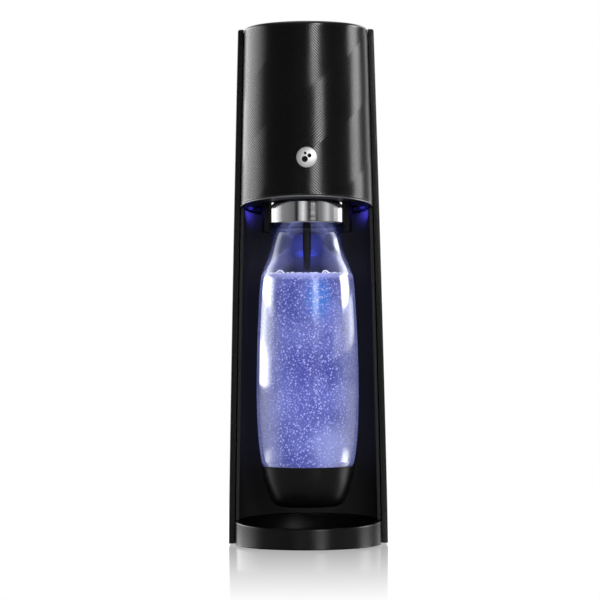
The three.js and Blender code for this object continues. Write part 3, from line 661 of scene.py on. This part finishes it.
def dose_buttons():
    """Three stemmed caps, marked with one, two and three raised dots."""
    for count, name in enumerate(BUTTON_NAMES, 1):
        low, high = box_mm(name)
        centre = middle(name)
        top = high.z
        flange = (high.x - low.x) / 2
        profile = [(0, low.z), (STEM_RADIUS, low.z), (STEM_RADIUS, top - 5.6), (flange, top - 5.6),
                   (flange, top - 4.4), (BUTTON_RADIUS, top - 4.4), (BUTTON_RADIUS, top - 0.7),
                   (BUTTON_RADIUS - 0.25, top - 0.2), (BUTTON_RADIUS - 0.8, top), (5.2, top - 0.15),
                   (2.6, top - 0.42), (0, top - 0.5)]
        lathe(name + "_cap", profile, (centre.x, centre.y), BUTTON_METAL, name, [name], segments=64)
        for drop in range(count):
            x = centre.x + (drop - (count - 1) / 2) * DOT_SPACING
            dot = [(0, top - 0.6), (0.8, top - 0.6), (0.8, top - 0.3), (0.55, top - 0.12), (0, top - 0.1)]
            lathe(f"{name}_dot_{drop + 1}", dot, (x, centre.y), GLOSS_BLACK, name, segments=20)


# Place across and up from the badge's middle, and radius, of the three bubbles on it.
BADGE_BUBBLES = ((-1.5, -1.5, 2.5), (2.3, 1.3, 1.7), (-1.2, 3.4, 1.1))


def badge():
    """A plain metal disc with three bubbles: a generic mark."""
    low, high = box_mm("badge")
    centre_z = middle("badge").z
    radius = (high.x - low.x) / 2
    face = low.y
    disc = [(0, 0), (radius - 0.5, 0), (radius - 0.1, 0.2), (radius, 0.6), (radius, high.y - face),
            (0, high.y - face)]
    emblem = lathe_forward("badge_disc", disc, (0, face, centre_z), BADGE_METAL, ["badge"])
    for number, (x, z, size) in enumerate(BADGE_BUBBLES, 1):
        bubble = [(0, -0.14), (size, -0.14), (size, 0.2), (0, 0.2)]
        lathe_forward(f"badge_bubble_{number}", bubble, (x, face, centre_z + z), GLOSS_BLACK)
    return emblem


def lathe_forward(name, profile, place, material, nodes=()):
    """A turned piece about an axis along Y: profile is radius against distance behind the face."""
    piece = lathe(name, profile, (0, 0), material, "housing", nodes, segments=72)
    for vertex in piece.data.vertices:
        x, y, z = vertex.co
        vertex.co = (x + place[0] * MM, z + place[1] * MM, place[2] * MM - y)
    return piece


# ---- base, bay and side panels ----
HINGE_X, HINGE_Y, HINGE_Z = 24, 84, 9
HINGE_HOLE = 1.5
WELL_HALF_WIDTH, WELL_DEPTH, WELL_FLOOR = 58, 48, 6.8
CYLINDER_SEAT_Y, CYLINDER_SEAT_RADIUS = 53.2, 31
CORNERS = ("front_left", "front_right", "rear_left", "rear_right")


def hinge_hole(side):
    return cutter_bar((side * HINGE_X - 10, HINGE_Y, HINGE_Z), HINGE_HOLE, 20, "x", 20)


def base_cutters(back):
    """The well for the dish, the cylinder bay, the hollow underneath, and all the base's holes."""
    well = [level(bay_outline(WELL_HALF_WIDTH, WELL_DEPTH), z, lean=False) for z in (WELL_FLOOR, 30)]
    recess = [level(body_outline(WELL_HALF_WIDTH, back - 3, 17), z, lean=False) for z in (-3, 4.6)]
    cutters = [cutter_loft(well), cutter_loft(recess), cutter_box((-56, 26, WELL_FLOOR), (56, 82, 40)),
               cutter_bar((0, CYLINDER_SEAT_Y, WELL_FLOOR), CYLINDER_SEAT_RADIUS, 30, "z", 96),
               cutter_bar((37, 75, 13.5), 5, 20, "y")]
    for side in (-1, 1):
        x = side * HINGE_X
        cutters += [cutter_box((x - 6.4, 79, -1), (x + 6.4, 95, 15)), hinge_hole(side)]
    for place in CORNERS:
        screw = middle(place + "_screw")
        cutters.append(cutter_bar((screw.x, screw.y, 0), 1.8, 10, "z", 20))
    return cutters


def base_shell():
    rows = [(0.9, BASE_LOW.z), (0.25, BASE_LOW.z + 0.25), (0, BASE_LOW.z + 0.9), (0, BASE_LOW.z + 1.5),
            (0, lambda y: rim_height(y) - 1.4), (0, lambda y: rim_height(y) - 0.7),
            (0.2, lambda y: rim_height(y) - 0.2), (0.7, rim_height)]
    loops = [level(body_outline(SHELL_RADIUS, BASE_HIGH.y, 20, inset), z) for inset, z in rows]
    shell = loft("base_shell_moulding", loops, SHELL_BLACK, "housing", ["base_shell"])
    carve(shell, base_cutters(BASE_HIGH.y))


TRAY_HALF_WIDTH, TRAY_DEPTH = 57.5, 47.5
TRAY_WALL, TRAY_FLOOR = 1.6, 2


def drip_tray():
    """A shallow dish whose rim follows the base's sloping rim."""
    def top(y):
        return rim_height(y) - 0.8

    def dish(inset, z):
        return level(bay_outline(TRAY_HALF_WIDTH - inset, TRAY_DEPTH - inset), z, lean=False)

    inside = TRAY_LOW.z + TRAY_FLOOR
    outer = [dish(0.8, TRAY_LOW.z), dish(0, TRAY_LOW.z + 0.8), dish(0, lambda y: top(y) - 0.5),
             dish(0.4, top)]
    inner = [dish(TRAY_WALL + 2.2, inside), dish(TRAY_WALL + 0.6, inside + 0.5),
             dish(TRAY_WALL, inside + 2.2), dish(TRAY_WALL, lambda y: top(y) + 1)]
    tray = loft("drip_tray_moulding", outer, DEEP_BLACK, "drip_tray", ["drip_tray"])
    carve(tray, [cutter_loft(inner)])


WALL_ROWS = 24


def bay_wall():
    """A half-ellipse shell behind the bottle, from the base's rim to the head's lower edge."""
    outline = arc(0, AXIS_Y, 60.6, BAY_DEPTH + WALL, 0, 180, 72) + arc(0, AXIS_Y, 58.1, BAY_DEPTH, 180, 0, 72)

    def height(share):
        return lambda y: (rim_height(y) + 0.4) * (1 - share) + (head_edge(y) - 0.4) * share

    loops = [level(outline, height(step / WALL_ROWS)) for step in range(WALL_ROWS + 1)]
    return loft("bay_wall_shell", loops, BAY_BLACK, "housing", ["bay_wall"])


PANEL_ROUND = 2.4
PANEL_EDGE = 1.6
PANEL_ROWS = 32
PANEL_INSIDE = SHELL_RADIUS + 0.4


def side_panel(side):
    """A thin wing beside the bay, with a rounded front edge and a rounded top."""
    front, back = PANEL_LOW.y, PANEL_HIGH.y
    outline = [(PANEL_INSIDE, front + 0.3), (PANEL_INSIDE + 0.3, front),
               *arc(HALF_WIDTH - PANEL_EDGE, front + PANEL_EDGE, PANEL_EDGE, PANEL_EDGE, -90, 0, 8),
               (HALF_WIDTH, back), (PANEL_INSIDE, back)]
    outline = [(side * x, y) for x, y in outline]
    rise = HEIGHT - PANEL_LOW.z
    loops = [level(outline, PANEL_LOW.z + rise * step / PANEL_ROWS) for step in range(PANEL_ROWS)]
    for step in range(5):
        turn = math.radians(90 * step / 4)
        inset, z = PANEL_ROUND * (1 - math.cos(turn)), HEIGHT - PANEL_ROUND * (1 - math.sin(turn))
        shrunk = [(side * min(abs(x), HALF_WIDTH - inset), max(y, front + inset)) for x, y in outline]
        loops.append(level(shrunk, z))
    name = sided("side_panel", side)
    bevel(loft(name + "_moulding", loops, SHELL_BLACK, "housing", [name]), 0.5, 60)


COVER_CORNER = 28
COVER_ROUND = 2.6
COVER_WALL = 3
COVER_ROWS = 24


def cover_outline(inset, front):
    x = HALF_WIDTH - COVER_CORNER
    y = COVER_HIGH.y - COVER_CORNER
    radius = COVER_CORNER - inset
    side = HALF_WIDTH - inset
    return [(-side, front), (side, front), *arc(x, y, radius, radius, 0, 90, 20),
            *arc(-x, y, radius, radius, 90, 180, 20)]


def rear_cover():
    """The hollow back shell, with a window for the inlet, a hole for the release and two hinge tabs."""
    front, bottom = COVER_LOW.y, COVER_LOW.z
    rows = [(0.7, bottom), (0.2, bottom + 0.2), (0, bottom + 0.7)]
    rows += [(0, bottom + 0.7 + (HEIGHT - 3.4 - bottom) * step / COVER_ROWS) for step in range(1, COVER_ROWS)]
    for angle in range(0, 91, 18):
        turn = math.radians(angle)
        rows.append((COVER_ROUND * (1 - math.cos(turn)), HEIGHT - COVER_ROUND + COVER_ROUND * math.sin(turn)))
    outer = [level(cover_outline(inset, front), z) for inset, z in rows]
    inside = (-5, *range(20, 421, 40), HEIGHT - COVER_WALL)
    inner = [level(cover_outline(COVER_WALL, front - 8), z) for z in inside]
    shell = loft("rear_cover_moulding", outer, SHELL_BLACK, "rear_cover", ["rear_cover"])
    window = cutter_box((30.6, 80, -5), (43.4, 100, 20.5))
    hole = cutter_box((-11, 80, 398.5), (11, 100, 409.5))
    carve(shell, [cutter_loft(inner), window, hole])
    for side in (-1, 1):
        hinge_tab(side)


def hinge_tab(side):
    x = side * HINGE_X
    corners = ((x - 4.8, 81.4), (x + 4.8, 81.4), (x + 4.8, 90.4), (x - 4.8, 90.4))
    tab = [[(*corner, z) for corner in corners] for z in (HINGE_Z - 4, HINGE_Z + 4)]
    carve(loft(sided("hinge_tab", side), tab, SHELL_BLACK, "rear_cover"), [hinge_hole(side)])


RELEASE_HALF_WIDTH, RELEASE_HALF_HEIGHT, RELEASE_CORNER = 10.6, 5.1, 2.2


def cover_release():
    """A rounded push cap in the rear cover, with a tongue behind it."""
    z = middle("cover_release").z
    loops = []
    for inset, y in ((0, 91), (0, 92.4), (0.3, 92.75), (1.0, 92.9)):
        x = RELEASE_HALF_WIDTH - RELEASE_CORNER - inset
        up = RELEASE_HALF_HEIGHT - RELEASE_CORNER - inset
        loop = []
        for centre_x, centre_up, start in ((x, up, 0), (-x, up, 90), (-x, -up, 180), (x, -up, 270)):
            corner = arc(centre_x, centre_up, RELEASE_CORNER, RELEASE_CORNER, start, start + 90, 8)
            loop += [(across, y, z + above) for across, above in corner]
        loops.append(loop)
    loft("cover_release_cap", loops, GLOSS_BLACK, "cover_release", ["cover_release"])
    corners = ((-8, -3), (8, -3), (8, 3), (-8, 3))
    tongue = [[(across, y, z + above) for across, above in corners] for y in (88.6, 91.2)]
    loft("cover_release_tongue", tongue, GLOSS_BLACK, "cover_release")


def feet():
    for place in CORNERS:
        node = place + "_foot"
        low, high = box_mm(node)
        centre, radius = middle(node), (high.x - low.x) / 2
        profile = [(0, 0), (radius - 0.5, 0), (radius, 0.5), (radius, high.z), (0, high.z)]
        lathe(node + "_pad", profile, (centre.x, centre.y), RUBBER, "housing", [node], segments=48)


# ---- underside of the head, and the tilting carrier ----
LENS_X, LENS_Y = 46.9, -26
LENS_HALF_WIDTH, LENS_HALF_LENGTH = 2.2, 6
LENS_GAP = 0.3
CARRIER_Y = -24
CARRIER_RADIUS = 38
CARRIER_LOW, CARRIER_HIGH = box_mm("carrier_body")
COLLAR_LOW, COLLAR_HIGH = box_mm("collar_trim")
COLLAR_RADIUS = (COLLAR_HIGH.x - COLLAR_LOW.x) / 2
ROOM_GAP = 0.4


def lifted(points, lift):
    """A loop that follows the sloping lower edge of the head."""
    return [(x, y, head_edge(y) + lift) for x, y in points]


def lens_outline(side, gap=0.0):
    return arc(side * LENS_X, LENS_Y, LENS_HALF_WIDTH + gap, LENS_HALF_LENGTH + gap, 0, 360, 48)[:-1]


def underside_panel():
    """The plate under the head, open around the carrier, with a light lens in a slot on each side."""
    half_width = SHELL_RADIUS - WALL - side_shift(HEAD_EDGE_Z) - 1
    outline = arc(0, AXIS_Y, half_width, half_width, 180, 360, 96)
    outline += arc(0, AXIS_Y, half_width, 54, 0, 180, 96)[1:-1]
    plate = loft("underside_panel_plate", [lifted(outline, 0.8), lifted(outline, 2.8)], DEEP_BLACK, "housing",
                 ["underside_panel"])
    opening = arc(0, -28, 42.5, 45, 0, 360, 96)[:-1]
    cutters = [cutter_loft([lifted(opening, -6), lifted(opening, 10)])]
    for side in (-1, 1):
        slot = lens_outline(side, LENS_GAP)
        cutters.append(cutter_loft([lifted(slot, -6), lifted(slot, 10)]))
        lens = lens_outline(side)
        name = sided("light_lens", side)
        loft(name + "_moulding", [lifted(lens, 0.6), lifted(lens, 2.8)], LENS_BLUE, "housing", [name])
    carve(plate, cutters)


def carrier():
    """The drum that holds the collar and the bottle's neck, cut open at the front, on two trunnions."""
    bottom, top, radius = CARRIER_LOW.z, CARRIER_HIGH.z, CARRIER_RADIUS
    profile = [(0, bottom), (radius - 0.8, bottom), (radius - 0.2, bottom + 0.2), (radius, bottom + 0.8),
               (radius, top - 0.5), (radius - 0.5, top), (0, top)]
    drum = lathe("carrier_drum", profile, (0, CARRIER_Y), DEEP_BLACK, "carrier", ["carrier_body"],
                 segments=128)
    room_top = COLLAR_HIGH.z + ROOM_GAP
    room = cutter_bar((0, AXIS_Y, bottom - 5), COLLAR_RADIUS + ROOM_GAP, room_top - bottom + 5, "z", 128)
    front = cutter_box((-60, -90, bottom - 5), (60, AXIS_Y - 6, room_top))
    neck = cutter_bar((0, AXIS_Y, bottom), 19, 303 - bottom, "z", 96)
    tube = cutter_bar((0, AXIS_Y, bottom), 3.8, top - bottom + 5, "z")
    carve(drum, [room, front, neck, tube])
    for side in (-1, 1):
        pin = cutter_bar((side * 43.4, -20, 300), 4, -side * 6.4, "x")
        pin.name = sided("trunnion", side)
        pin.data.materials[0] = MATTE_BLACK
        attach(pin, "carrier")


def collar_trim():
    """The metal ring, with close rows of points at its edges that keep its wall's reflections straight."""
    low, high, radius = COLLAR_LOW.z, COLLAR_HIGH.z, COLLAR_RADIUS
    profile = [(29, low + 0.3), (29.3, low), (radius - 0.7, low), (radius - 0.3, low + 0.1),
               (radius - 0.1, low + 0.3), (radius, low + 0.7), (radius, low + 1.1), (radius, high - 0.9),
               (radius, high - 0.5), (radius - 0.15, high - 0.15), (radius - 0.5, high), (29, high)]
    return lathe("collar_trim_ring", profile, (0, AXIS_Y), COLLAR_METAL, "carrier", ["collar_trim"],
                 segments=192)


def nozzle():
    low, high = box_mm("nozzle_tube")
    radius = (high.x - low.x) / 2
    profile = [(0.9, low.z), (1.9, low.z), (radius - 0.8, low.z + 2.2), (radius - 0.3, low.z + 12),
               (radius, low.z + 14), (radius, high.z), (0.9, high.z)]
    lathe("nozzle_tube_turned", profile, (0, AXIS_Y), MATTE_BLACK, "carrier", ["nozzle_tube"], segments=48)


# ---- bottle and water ----
BOTTLE_LOW, BOTTLE_HIGH = box_mm("bottle_body")
BOTTLE_WALL = 1.2
MOUTH_RADIUS = 17
CUP_WALL = 1.4
TUCK = CUP_WALL + 0.6
WATER_GAP = 0.5
BOTTLE_CURVE = [(24.1, 32.5), (29.3, 35.5), (32.6, 41.5), (36.4, 52.3), (39.6, 66.5), (42.7, 87), (44.2, 120),
                (43.7, 163), (41.2, 215), (38.2, 230), (33.4, 243), (29, 259), (24.5, 267), (18.5, 277),
                (MOUTH_RADIUS, 283)]
BOTTLE_SIDE = curve_through(BOTTLE_CURVE, 8)
WATER_LEVEL = 225
CUP_LOW, CUP_HIGH = box_mm("bottle_base_cup")
CUP_TOP = CUP_HIGH.z


def bottle_radius(z):
    for (r0, z0), (r1, z1) in zip(BOTTLE_CURVE, BOTTLE_CURVE[1:]):
        if z <= z1:
            return r0 + (r1 - r0) * max(0, z - z0) / (z1 - z0)
    return MOUTH_RADIUS


def side_between(low, high=math.inf, inwards=0.0):
    """The bottle's outline between two heights, moved inwards."""
    return [(r - inwards, z) for r, z in BOTTLE_SIDE if low < z < high]


def bottle():
    """The clear wall: full width above the cup, and tucked inside it below."""
    floor, mouth = BOTTLE_LOW.z, BOTTLE_HIGH.z
    outer = [(0, floor), (24, floor), *side_between(floor + 5, CUP_TOP, TUCK),
             *side_between(CUP_TOP + 0.4), (MOUTH_RADIUS, mouth)]
    inner = [(0, floor + 1.6), (22.5, floor + 1.6), *side_between(floor + 7, CUP_TOP, TUCK + BOTTLE_WALL),
             *side_between(CUP_TOP + 2, inwards=BOTTLE_WALL), (MOUTH_RADIUS - BOTTLE_WALL, mouth)]
    lathe("bottle_wall", outer + inner[::-1], (0, AXIS_Y), CLEAR, "bottle", ["bottle_body"], segments=192)


def base_cup():
    low = CUP_LOW.z
    side = side_between(low + 0.4, CUP_TOP - 0.5)
    top_radius = bottle_radius(CUP_TOP)
    outer = [(0, low), (21.5, low), (23.4, low + 0.25), *side, (top_radius, CUP_TOP - 0.5),
             (top_radius - 0.3, CUP_TOP - 0.1), (top_radius - 0.8, CUP_TOP)]
    inner = [(0, low + 2.8), (25.6, low + 2.8), *side_between(low + 5, CUP_TOP - 0.5, CUP_WALL),
             (top_radius - CUP_WALL, CUP_TOP - 0.4)]
    lathe("bottle_cup_shell", outer + inner[::-1], (0, AXIS_Y), CUP_BLACK, "bottle", ["bottle_base_cup"],
          segments=160)


def water():
    """One body of water that climbs the wall a little at its surface."""
    floor = box_mm("sparkling_water")[0].z
    inwards = BOTTLE_WALL + WATER_GAP
    edge = bottle_radius(WATER_LEVEL) - inwards
    profile = [(0, floor), (22, floor), *side_between(floor + 6, CUP_TOP, CUP_WALL + BOTTLE_WALL + 1.4),
               *side_between(CUP_TOP + 0.5, WATER_LEVEL, inwards), (edge, WATER_LEVEL - 0.5),
               (edge, WATER_LEVEL + 1.2), (edge - 0.9, WATER_LEVEL + 0.2), (edge - 2.4, WATER_LEVEL),
               (0, WATER_LEVEL)]
    lathe("sparkling_water_body", profile, (0, AXIS_Y), WATER, "bottle", ["sparkling_water"], segments=160)


def bubble_mesh(places, name, material, body, detail=1):
    """Many small balls as one mesh: each place is (x, y, z, radius)."""
    ball = bmesh.new()
    bmesh.ops.create_icosphere(ball, subdivisions=detail, radius=1)
    shape = [tuple(v.co) for v in ball.verts]
    sides = [tuple(v.index for v in f.verts) for f in ball.faces]
    ball.free()
    points, faces = [], []
    for x, y, z, radius in places:
        start = len(points)
        points += [(x + radius * a, y + radius * b, z + radius * c) for a, b, c in shape]
        faces += [tuple(i + start for i in side) for side in sides]
    return make_piece(name, points, faces, material, body, sharp=80)


FINE_BUBBLES = 4600
FOAM_BUBBLES = 260
# Direction in degrees and radius of the larger bubbles on the surface.
LARGE_BUBBLES = ((229, 3.4), (296, 3.0), (250, 1.9), (281, 1.7), (262, 1.4), (310, 1.9), (214, 1.8))


def around_bottle(radius, angle, z, size):
    return radius * math.cos(angle), AXIS_Y + radius * math.sin(angle), z, size


def fine_bubbles(chance):
    """Fine bubbles against the front of the wall, most of them small."""
    places = []
    for _ in range(FINE_BUBBLES):
        z = 70 + (WATER_LEVEL - 73) * chance.random()
        angle = math.radians(185 + 170 * chance.random())
        size = 0.17 + 0.33 * chance.random() ** 3
        places.append(around_bottle(bottle_radius(z) - BOTTLE_WALL - 0.45, angle, z, size))
    bubble_mesh(places, "fine_bubbles", BUBBLE, "bottle")


def surface_foam(chance):
    """A rim of foam on the water, with a few larger bubbles."""
    places = []
    edge = bottle_radius(WATER_LEVEL) - BOTTLE_WALL - 0.3
    for _ in range(FOAM_BUBBLES):
        angle = 2 * math.pi * chance.random()
        size = 0.6 + 1.1 * chance.random() ** 2
        radius = edge - size - 1.5 * chance.random()
        places.append(around_bottle(radius, angle, WATER_LEVEL + size * 0.2, size))
    for angle, size in LARGE_BUBBLES:
        places.append(around_bottle(edge - size - 0.3, math.radians(angle), WATER_LEVEL + size * 0.25, size))
    bubble_mesh(places, "surface_foam", FOAM, "bottle", detail=3)


# ---- gas cylinder ----
SHOULDER_Z = 318
SHOULDER_RISE = 22


def gas_cylinder():
    low, high = box_mm("gas_cylinder")
    centre = middle("gas_cylinder")
    radius = (high.x - low.x) / 2
    shoulder = curve_through([(radius, SHOULDER_Z), (radius - 2.5, SHOULDER_Z + SHOULDER_RISE / 2),
                              (20, SHOULDER_Z + SHOULDER_RISE), (13, high.z - 4), (12.4, high.z)], 6)
    profile = [(0, low.z + 2.5), (20, low.z), *arc(radius - 6, low.z + 6, 6, 6, -90, 0, 8), *shoulder,
               (0, high.z)]
    lathe("gas_cylinder_body", profile, (0, centre.y), CYLINDER_METAL, "gas_cylinder", ["gas_cylinder"],
          segments=96)


# ---- camera, surroundings and stage ----
CAMERA_PLACE = (-0.0062, -1.993, 0.168)
CAMERA_PITCH = 1.073
CAMERA_ROLL = 0.3
LENS_MM = 140.7


def camera():
    lens = bpy.data.cameras.new("camera")
    lens.lens = LENS_MM
    lens.sensor_width = 36
    eye = add_object("camera", lens)
    eye.location = CAMERA_PLACE
    eye.rotation_euler = (math.radians(90 + CAMERA_PITCH), math.radians(CAMERA_ROLL), 0)
    bpy.context.scene.camera = eye


def band(tree, value, low, high, soft_low, soft_high):
    """1 between two angles, and falling to 0 outside over the two soft widths."""
    above = rising(tree, value, low - soft_low, low)
    below = rising(tree, value, high + soft_high, high)
    return maths(tree, "MULTIPLY", above, below)


# Softboxes around the object: azimuth from, to, its two soft widths, elevation from, to, its two soft
# widths, strength. Azimuth 0 is towards the front (-Y) and positive to the right.
SOFTBOXES = [
    (-146, -112, 4, 34, -12, 12, 4, 6, 2.7),
    (-150, -108, 4, 34, 5, 12, 1, 6, 1.3),
    (-146, -139, 4, 50, 18, 28, 4, 12, 1.6),
    (95, 104, 10, 16, 6, 16, 2, 6, 7.0),
    (130, 146, 44, 6, 18, 28, 4, 12, 1.8),
    (17, 22, 8, 8, 7, 16, 2, 4, 10.0),
    (-180, -152, 0, 5, -8, 30, 2, 20, 1.0),
    (145, 180, 12, 0, -8, 30, 2, 20, 1.0),
    (-180, 180, 0, 0, 62, 90, 14, 1, 0.8),
]
AMBIENT = 0.08
SHARPEST = 0.01
# What the collar mirrors, in the narrow range of elevations that it sees: azimuth and level.
COLLAR_ROW = [
    (-112, 1.5), (-104, 0.9), (-81, 0.36), (-58, 0.28), (-40, 0.2), (-33, 0.01), (-28, 0.01), (-22, 0.6),
    (-11, 1.4), (-3, 0.6), (5, 0.01), (29, 0.005), (36, 0.22), (46, 0.3), (66, 0.95), (78, 0.42), (90, 0.34),
    (104, 0.55), (116, 1.2),
]
COLLAR_ELEVATION = (2.4, 4.3)
COLLAR_SOFTNESS = 0.7


def softbox_light(tree, azimuth, elevation):
    """The strength of all the softboxes in one direction, over a dim level everywhere."""
    total = AMBIENT
    for a0, a1, a_soft0, a_soft1, e0, e1, e_soft0, e_soft1, strength in SOFTBOXES:
        across = band(tree, azimuth, a0, a1, a_soft0 + SHARPEST, a_soft1 + SHARPEST)
        up = band(tree, elevation, e0, e1, e_soft0, e_soft1)
        box = maths(tree, "MULTIPLY", maths(tree, "MULTIPLY", across, up), float(strength))
        total = maths(tree, "ADD", box, total)
    return total


def with_collar_row(tree, azimuth, elevation, total):
    """The light with the collar's row in place of it, in the elevations that the collar mirrors."""
    turn = maths(tree, "ADD", maths(tree, "DIVIDE", azimuth, 360.0), 0.5)
    row = ramp(tree, turn, [(angle / 360 + 0.5, (strength,) * 3) for angle, strength in COLLAR_ROW])
    near = band(tree, elevation, *COLLAR_ELEVATION, COLLAR_SOFTNESS, COLLAR_SOFTNESS)
    change = maths(tree, "MULTIPLY", near, maths(tree, "SUBTRACT", row, total))
    return maths(tree, "ADD", total, change)


def surroundings():
    """White to the camera, and a room with softboxes to everything else."""
    world = bpy.data.worlds.new("surroundings")
    bpy.context.scene.world = world
    world.use_nodes = True
    tree = world.node_tree
    background = tree.nodes["Background"]
    background.inputs["Color"].default_value = (1, 1, 1, 1)
    place = tree.nodes.new("ShaderNodeTexCoord")
    split = tree.nodes.new("ShaderNodeSeparateXYZ")
    tree.links.new(place.outputs["Generated"], split.inputs["Vector"])
    x, y, z = (split.outputs[axis] for axis in "XYZ")
    azimuth = maths(tree, "DEGREES", maths(tree, "ARCTAN2", x, maths(tree, "MULTIPLY", y, -1.0)))
    elevation = maths(tree, "DEGREES", maths(tree, "ARCSINE", z))
    total = with_collar_row(tree, azimuth, elevation, softbox_light(tree, azimuth, elevation))
    ray = tree.nodes.new("ShaderNodeLightPath")
    seen = maths(tree, "MULTIPLY", ray.outputs["Is Camera Ray"], maths(tree, "SUBTRACT", 1.0, total))
    tree.links.new(maths(tree, "ADD", total, seen), background.inputs["Strength"])


def area_lamp(name, shape, size_mm, place_mm):
    lamp = bpy.data.lights.new(name, "AREA")
    lamp.shape = shape
    lamp.size, lamp.size_y = (length * MM for length in size_mm)
    source = add_object(name, lamp)
    source.location = Vector(place_mm) * MM
    return source, lamp


def glow_lamp(name, place_mm, colour, power, size_mm, turn):
    """A small round coloured lamp, such as one of the lights under the head."""
    source, lamp = area_lamp(name, "DISK", (size_mm, size_mm), place_mm)
    lamp.energy = power
    lamp.color = colour
    lamp.spread = math.radians(110)
    source.rotation_euler = [math.radians(angle) for angle in turn]


def accent_lamp(name, azimuth, distance_mm, size_mm, aim_mm, brightness, receiver):
    """A lamp that lights one piece only, such as trim that would otherwise mirror a dark recess."""
    angle = math.radians(azimuth)
    offset = Vector((math.sin(angle), -math.cos(angle), 0.06)) * distance_mm
    source, lamp = area_lamp(name, "RECTANGLE", size_mm, Vector(aim_mm) + offset)
    lamp.energy = brightness * math.pi * lamp.size * lamp.size_y
    source.rotation_euler = (-offset).to_track_quat("-Z", "Y").to_euler()
    only = bpy.data.collections.new(name + "_receivers")
    only.objects.link(receiver)
    source.light_linking.receiver_collection = only
    source.light_linking.blocker_collection = only
    source.visible_camera = False
    source.visible_transmission = False


GLOW_COLOUR = (0.1, 0.08, 1.0)
NECK_COLOUR = (0.35, 0.42, 1.0)
BACK_COLOUR = (0.06, 0.09, 1.0)


def lamps(collar, wall, emblem):
    """The machine's own blue lights, and the accent lamps for its trim and its bay."""
    for side in (-1, 1):
        glow_lamp(f"head_light_{side}", (side * 45, -20, 281), GLOW_COLOUR, 0.016, 16, (86, 0, side * -35))
        glow_lamp(f"neck_light_{side}", (side * 17, -20, 276), NECK_COLOUR, 0.008, 8, (20, 0, side * -15))
        accent_lamp(f"collar_lamp_{side}", side * 116, 48, (56, 20), (0, AXIS_Y, 276), 1.5, collar)
    glow_lamp("head_light_back", (0, 0, 252), BACK_COLOUR, 0.015, 24, (84, 0, 0))
    accent_lamp("bay_lamp", 0, 900, (500, 500), (0, 20, 150), 2.2, wall)
    accent_lamp("badge_lamp", 4, 700, (500, 500), (0, FRONT_Y, 320), 0.8, emblem)


FLOOR_REACH = 9000
FLOOR_LIGHT = 0.2
FLOOR_GLOSS = 0.6


def floor_material():
    """White to the camera and dimmer to the object, with a mirror gloss that fades away from it."""
    material = bpy.data.materials.new("white_floor")
    material.use_nodes = True
    tree = material.node_tree
    tree.nodes.remove(tree.nodes["Principled BSDF"])
    glow = add_node(tree, "ShaderNodeEmission", Color=(1, 1, 1, 1))
    ray = tree.nodes.new("ShaderNodeLightPath")
    spread(tree, ray, "Is Camera Ray", glow, "Strength", FLOOR_LIGHT, 1.0, start=0.0, end=1.0)
    mirror = add_node(tree, "ShaderNodeBsdfAnisotropic", Color=(1, 1, 1, 1), Roughness=0.08)
    place = tree.nodes.new("ShaderNodeTexCoord")
    distance = tree.nodes.new("ShaderNodeVectorMath")
    distance.operation = "LENGTH"
    link(tree, place, "Object", distance, "Vector")
    blend = tree.nodes.new("ShaderNodeMixShader")
    spread(tree, distance, "Value", blend, "Fac", FLOOR_GLOSS, 0.0, start=0.08, end=0.47)
    link(tree, glow, "Emission", blend, 1)
    link(tree, mirror, "BSDF", blend, 2)
    link(tree, blend, "Shader", tree.nodes["Material Output"], "Surface")
    return material


def studio_floor():
    mesh = bpy.data.meshes.new("studio_floor")
    reach = FLOOR_REACH * MM
    mesh.from_pydata([(-reach, -reach, 0), (reach, -reach, 0), (reach, reach, 0), (-reach, reach, 0)], [],
                     [(0, 1, 2, 3)])
    floor = add_object("studio_floor", mesh)
    mesh.materials.append(floor_material())


# ---- the whole machine ----
FINISHES = {
    "shell_black": SHELL_BLACK, "gloss_black": GLOSS_BLACK, "matte_black": MATTE_BLACK,
    "inner_grey": INNER_GREY, "brushed_trim": COLLAR_METAL, "steel": STEEL, "cylinder_grey": CYLINDER_METAL,
    "brass": BRASS, "rubber": RUBBER, "silicone": SILICONE, "board_green": BOARD, "lever_pink": LEVER_PINK,
    "light_blue": LENS_BLUE, "clear_bottle": CLEAR, "water": WATER, "nylon": NYLON,
}


def finish_cad_nodes():
    """Every CAD node that still shows gets its finish, and smooth shading across its small angles."""
    slots = {part["node"]: part["material_slot"] for part in frame["record"]["subparts"]}
    for name, node in NODES.items():
        node.data.materials.clear()
        node.data.materials.append(FINISHES[slots[name]])
        node.data.shade_smooth()
        node.data.set_sharp_from_angle(angle=math.radians(32))


finish_cad_nodes()
head_cover()
head_lip()
top_cover()
dose_buttons()
emblem = badge()
base_shell()
drip_tray()
wall = bay_wall()
side_panel(-1)
side_panel(1)
rear_cover()
cover_release()
feet()
underside_panel()
carrier()
collar = collar_trim()
nozzle()
bottle()
base_cup()
water()
chance = random.Random(11)
fine_bubbles(chance)
surface_foam(chance)
gas_cylinder()
camera()
surroundings()
studio_floor()
lamps(collar, wall, emblem)
bpy.context.scene.view_settings.view_transform = "Standard"
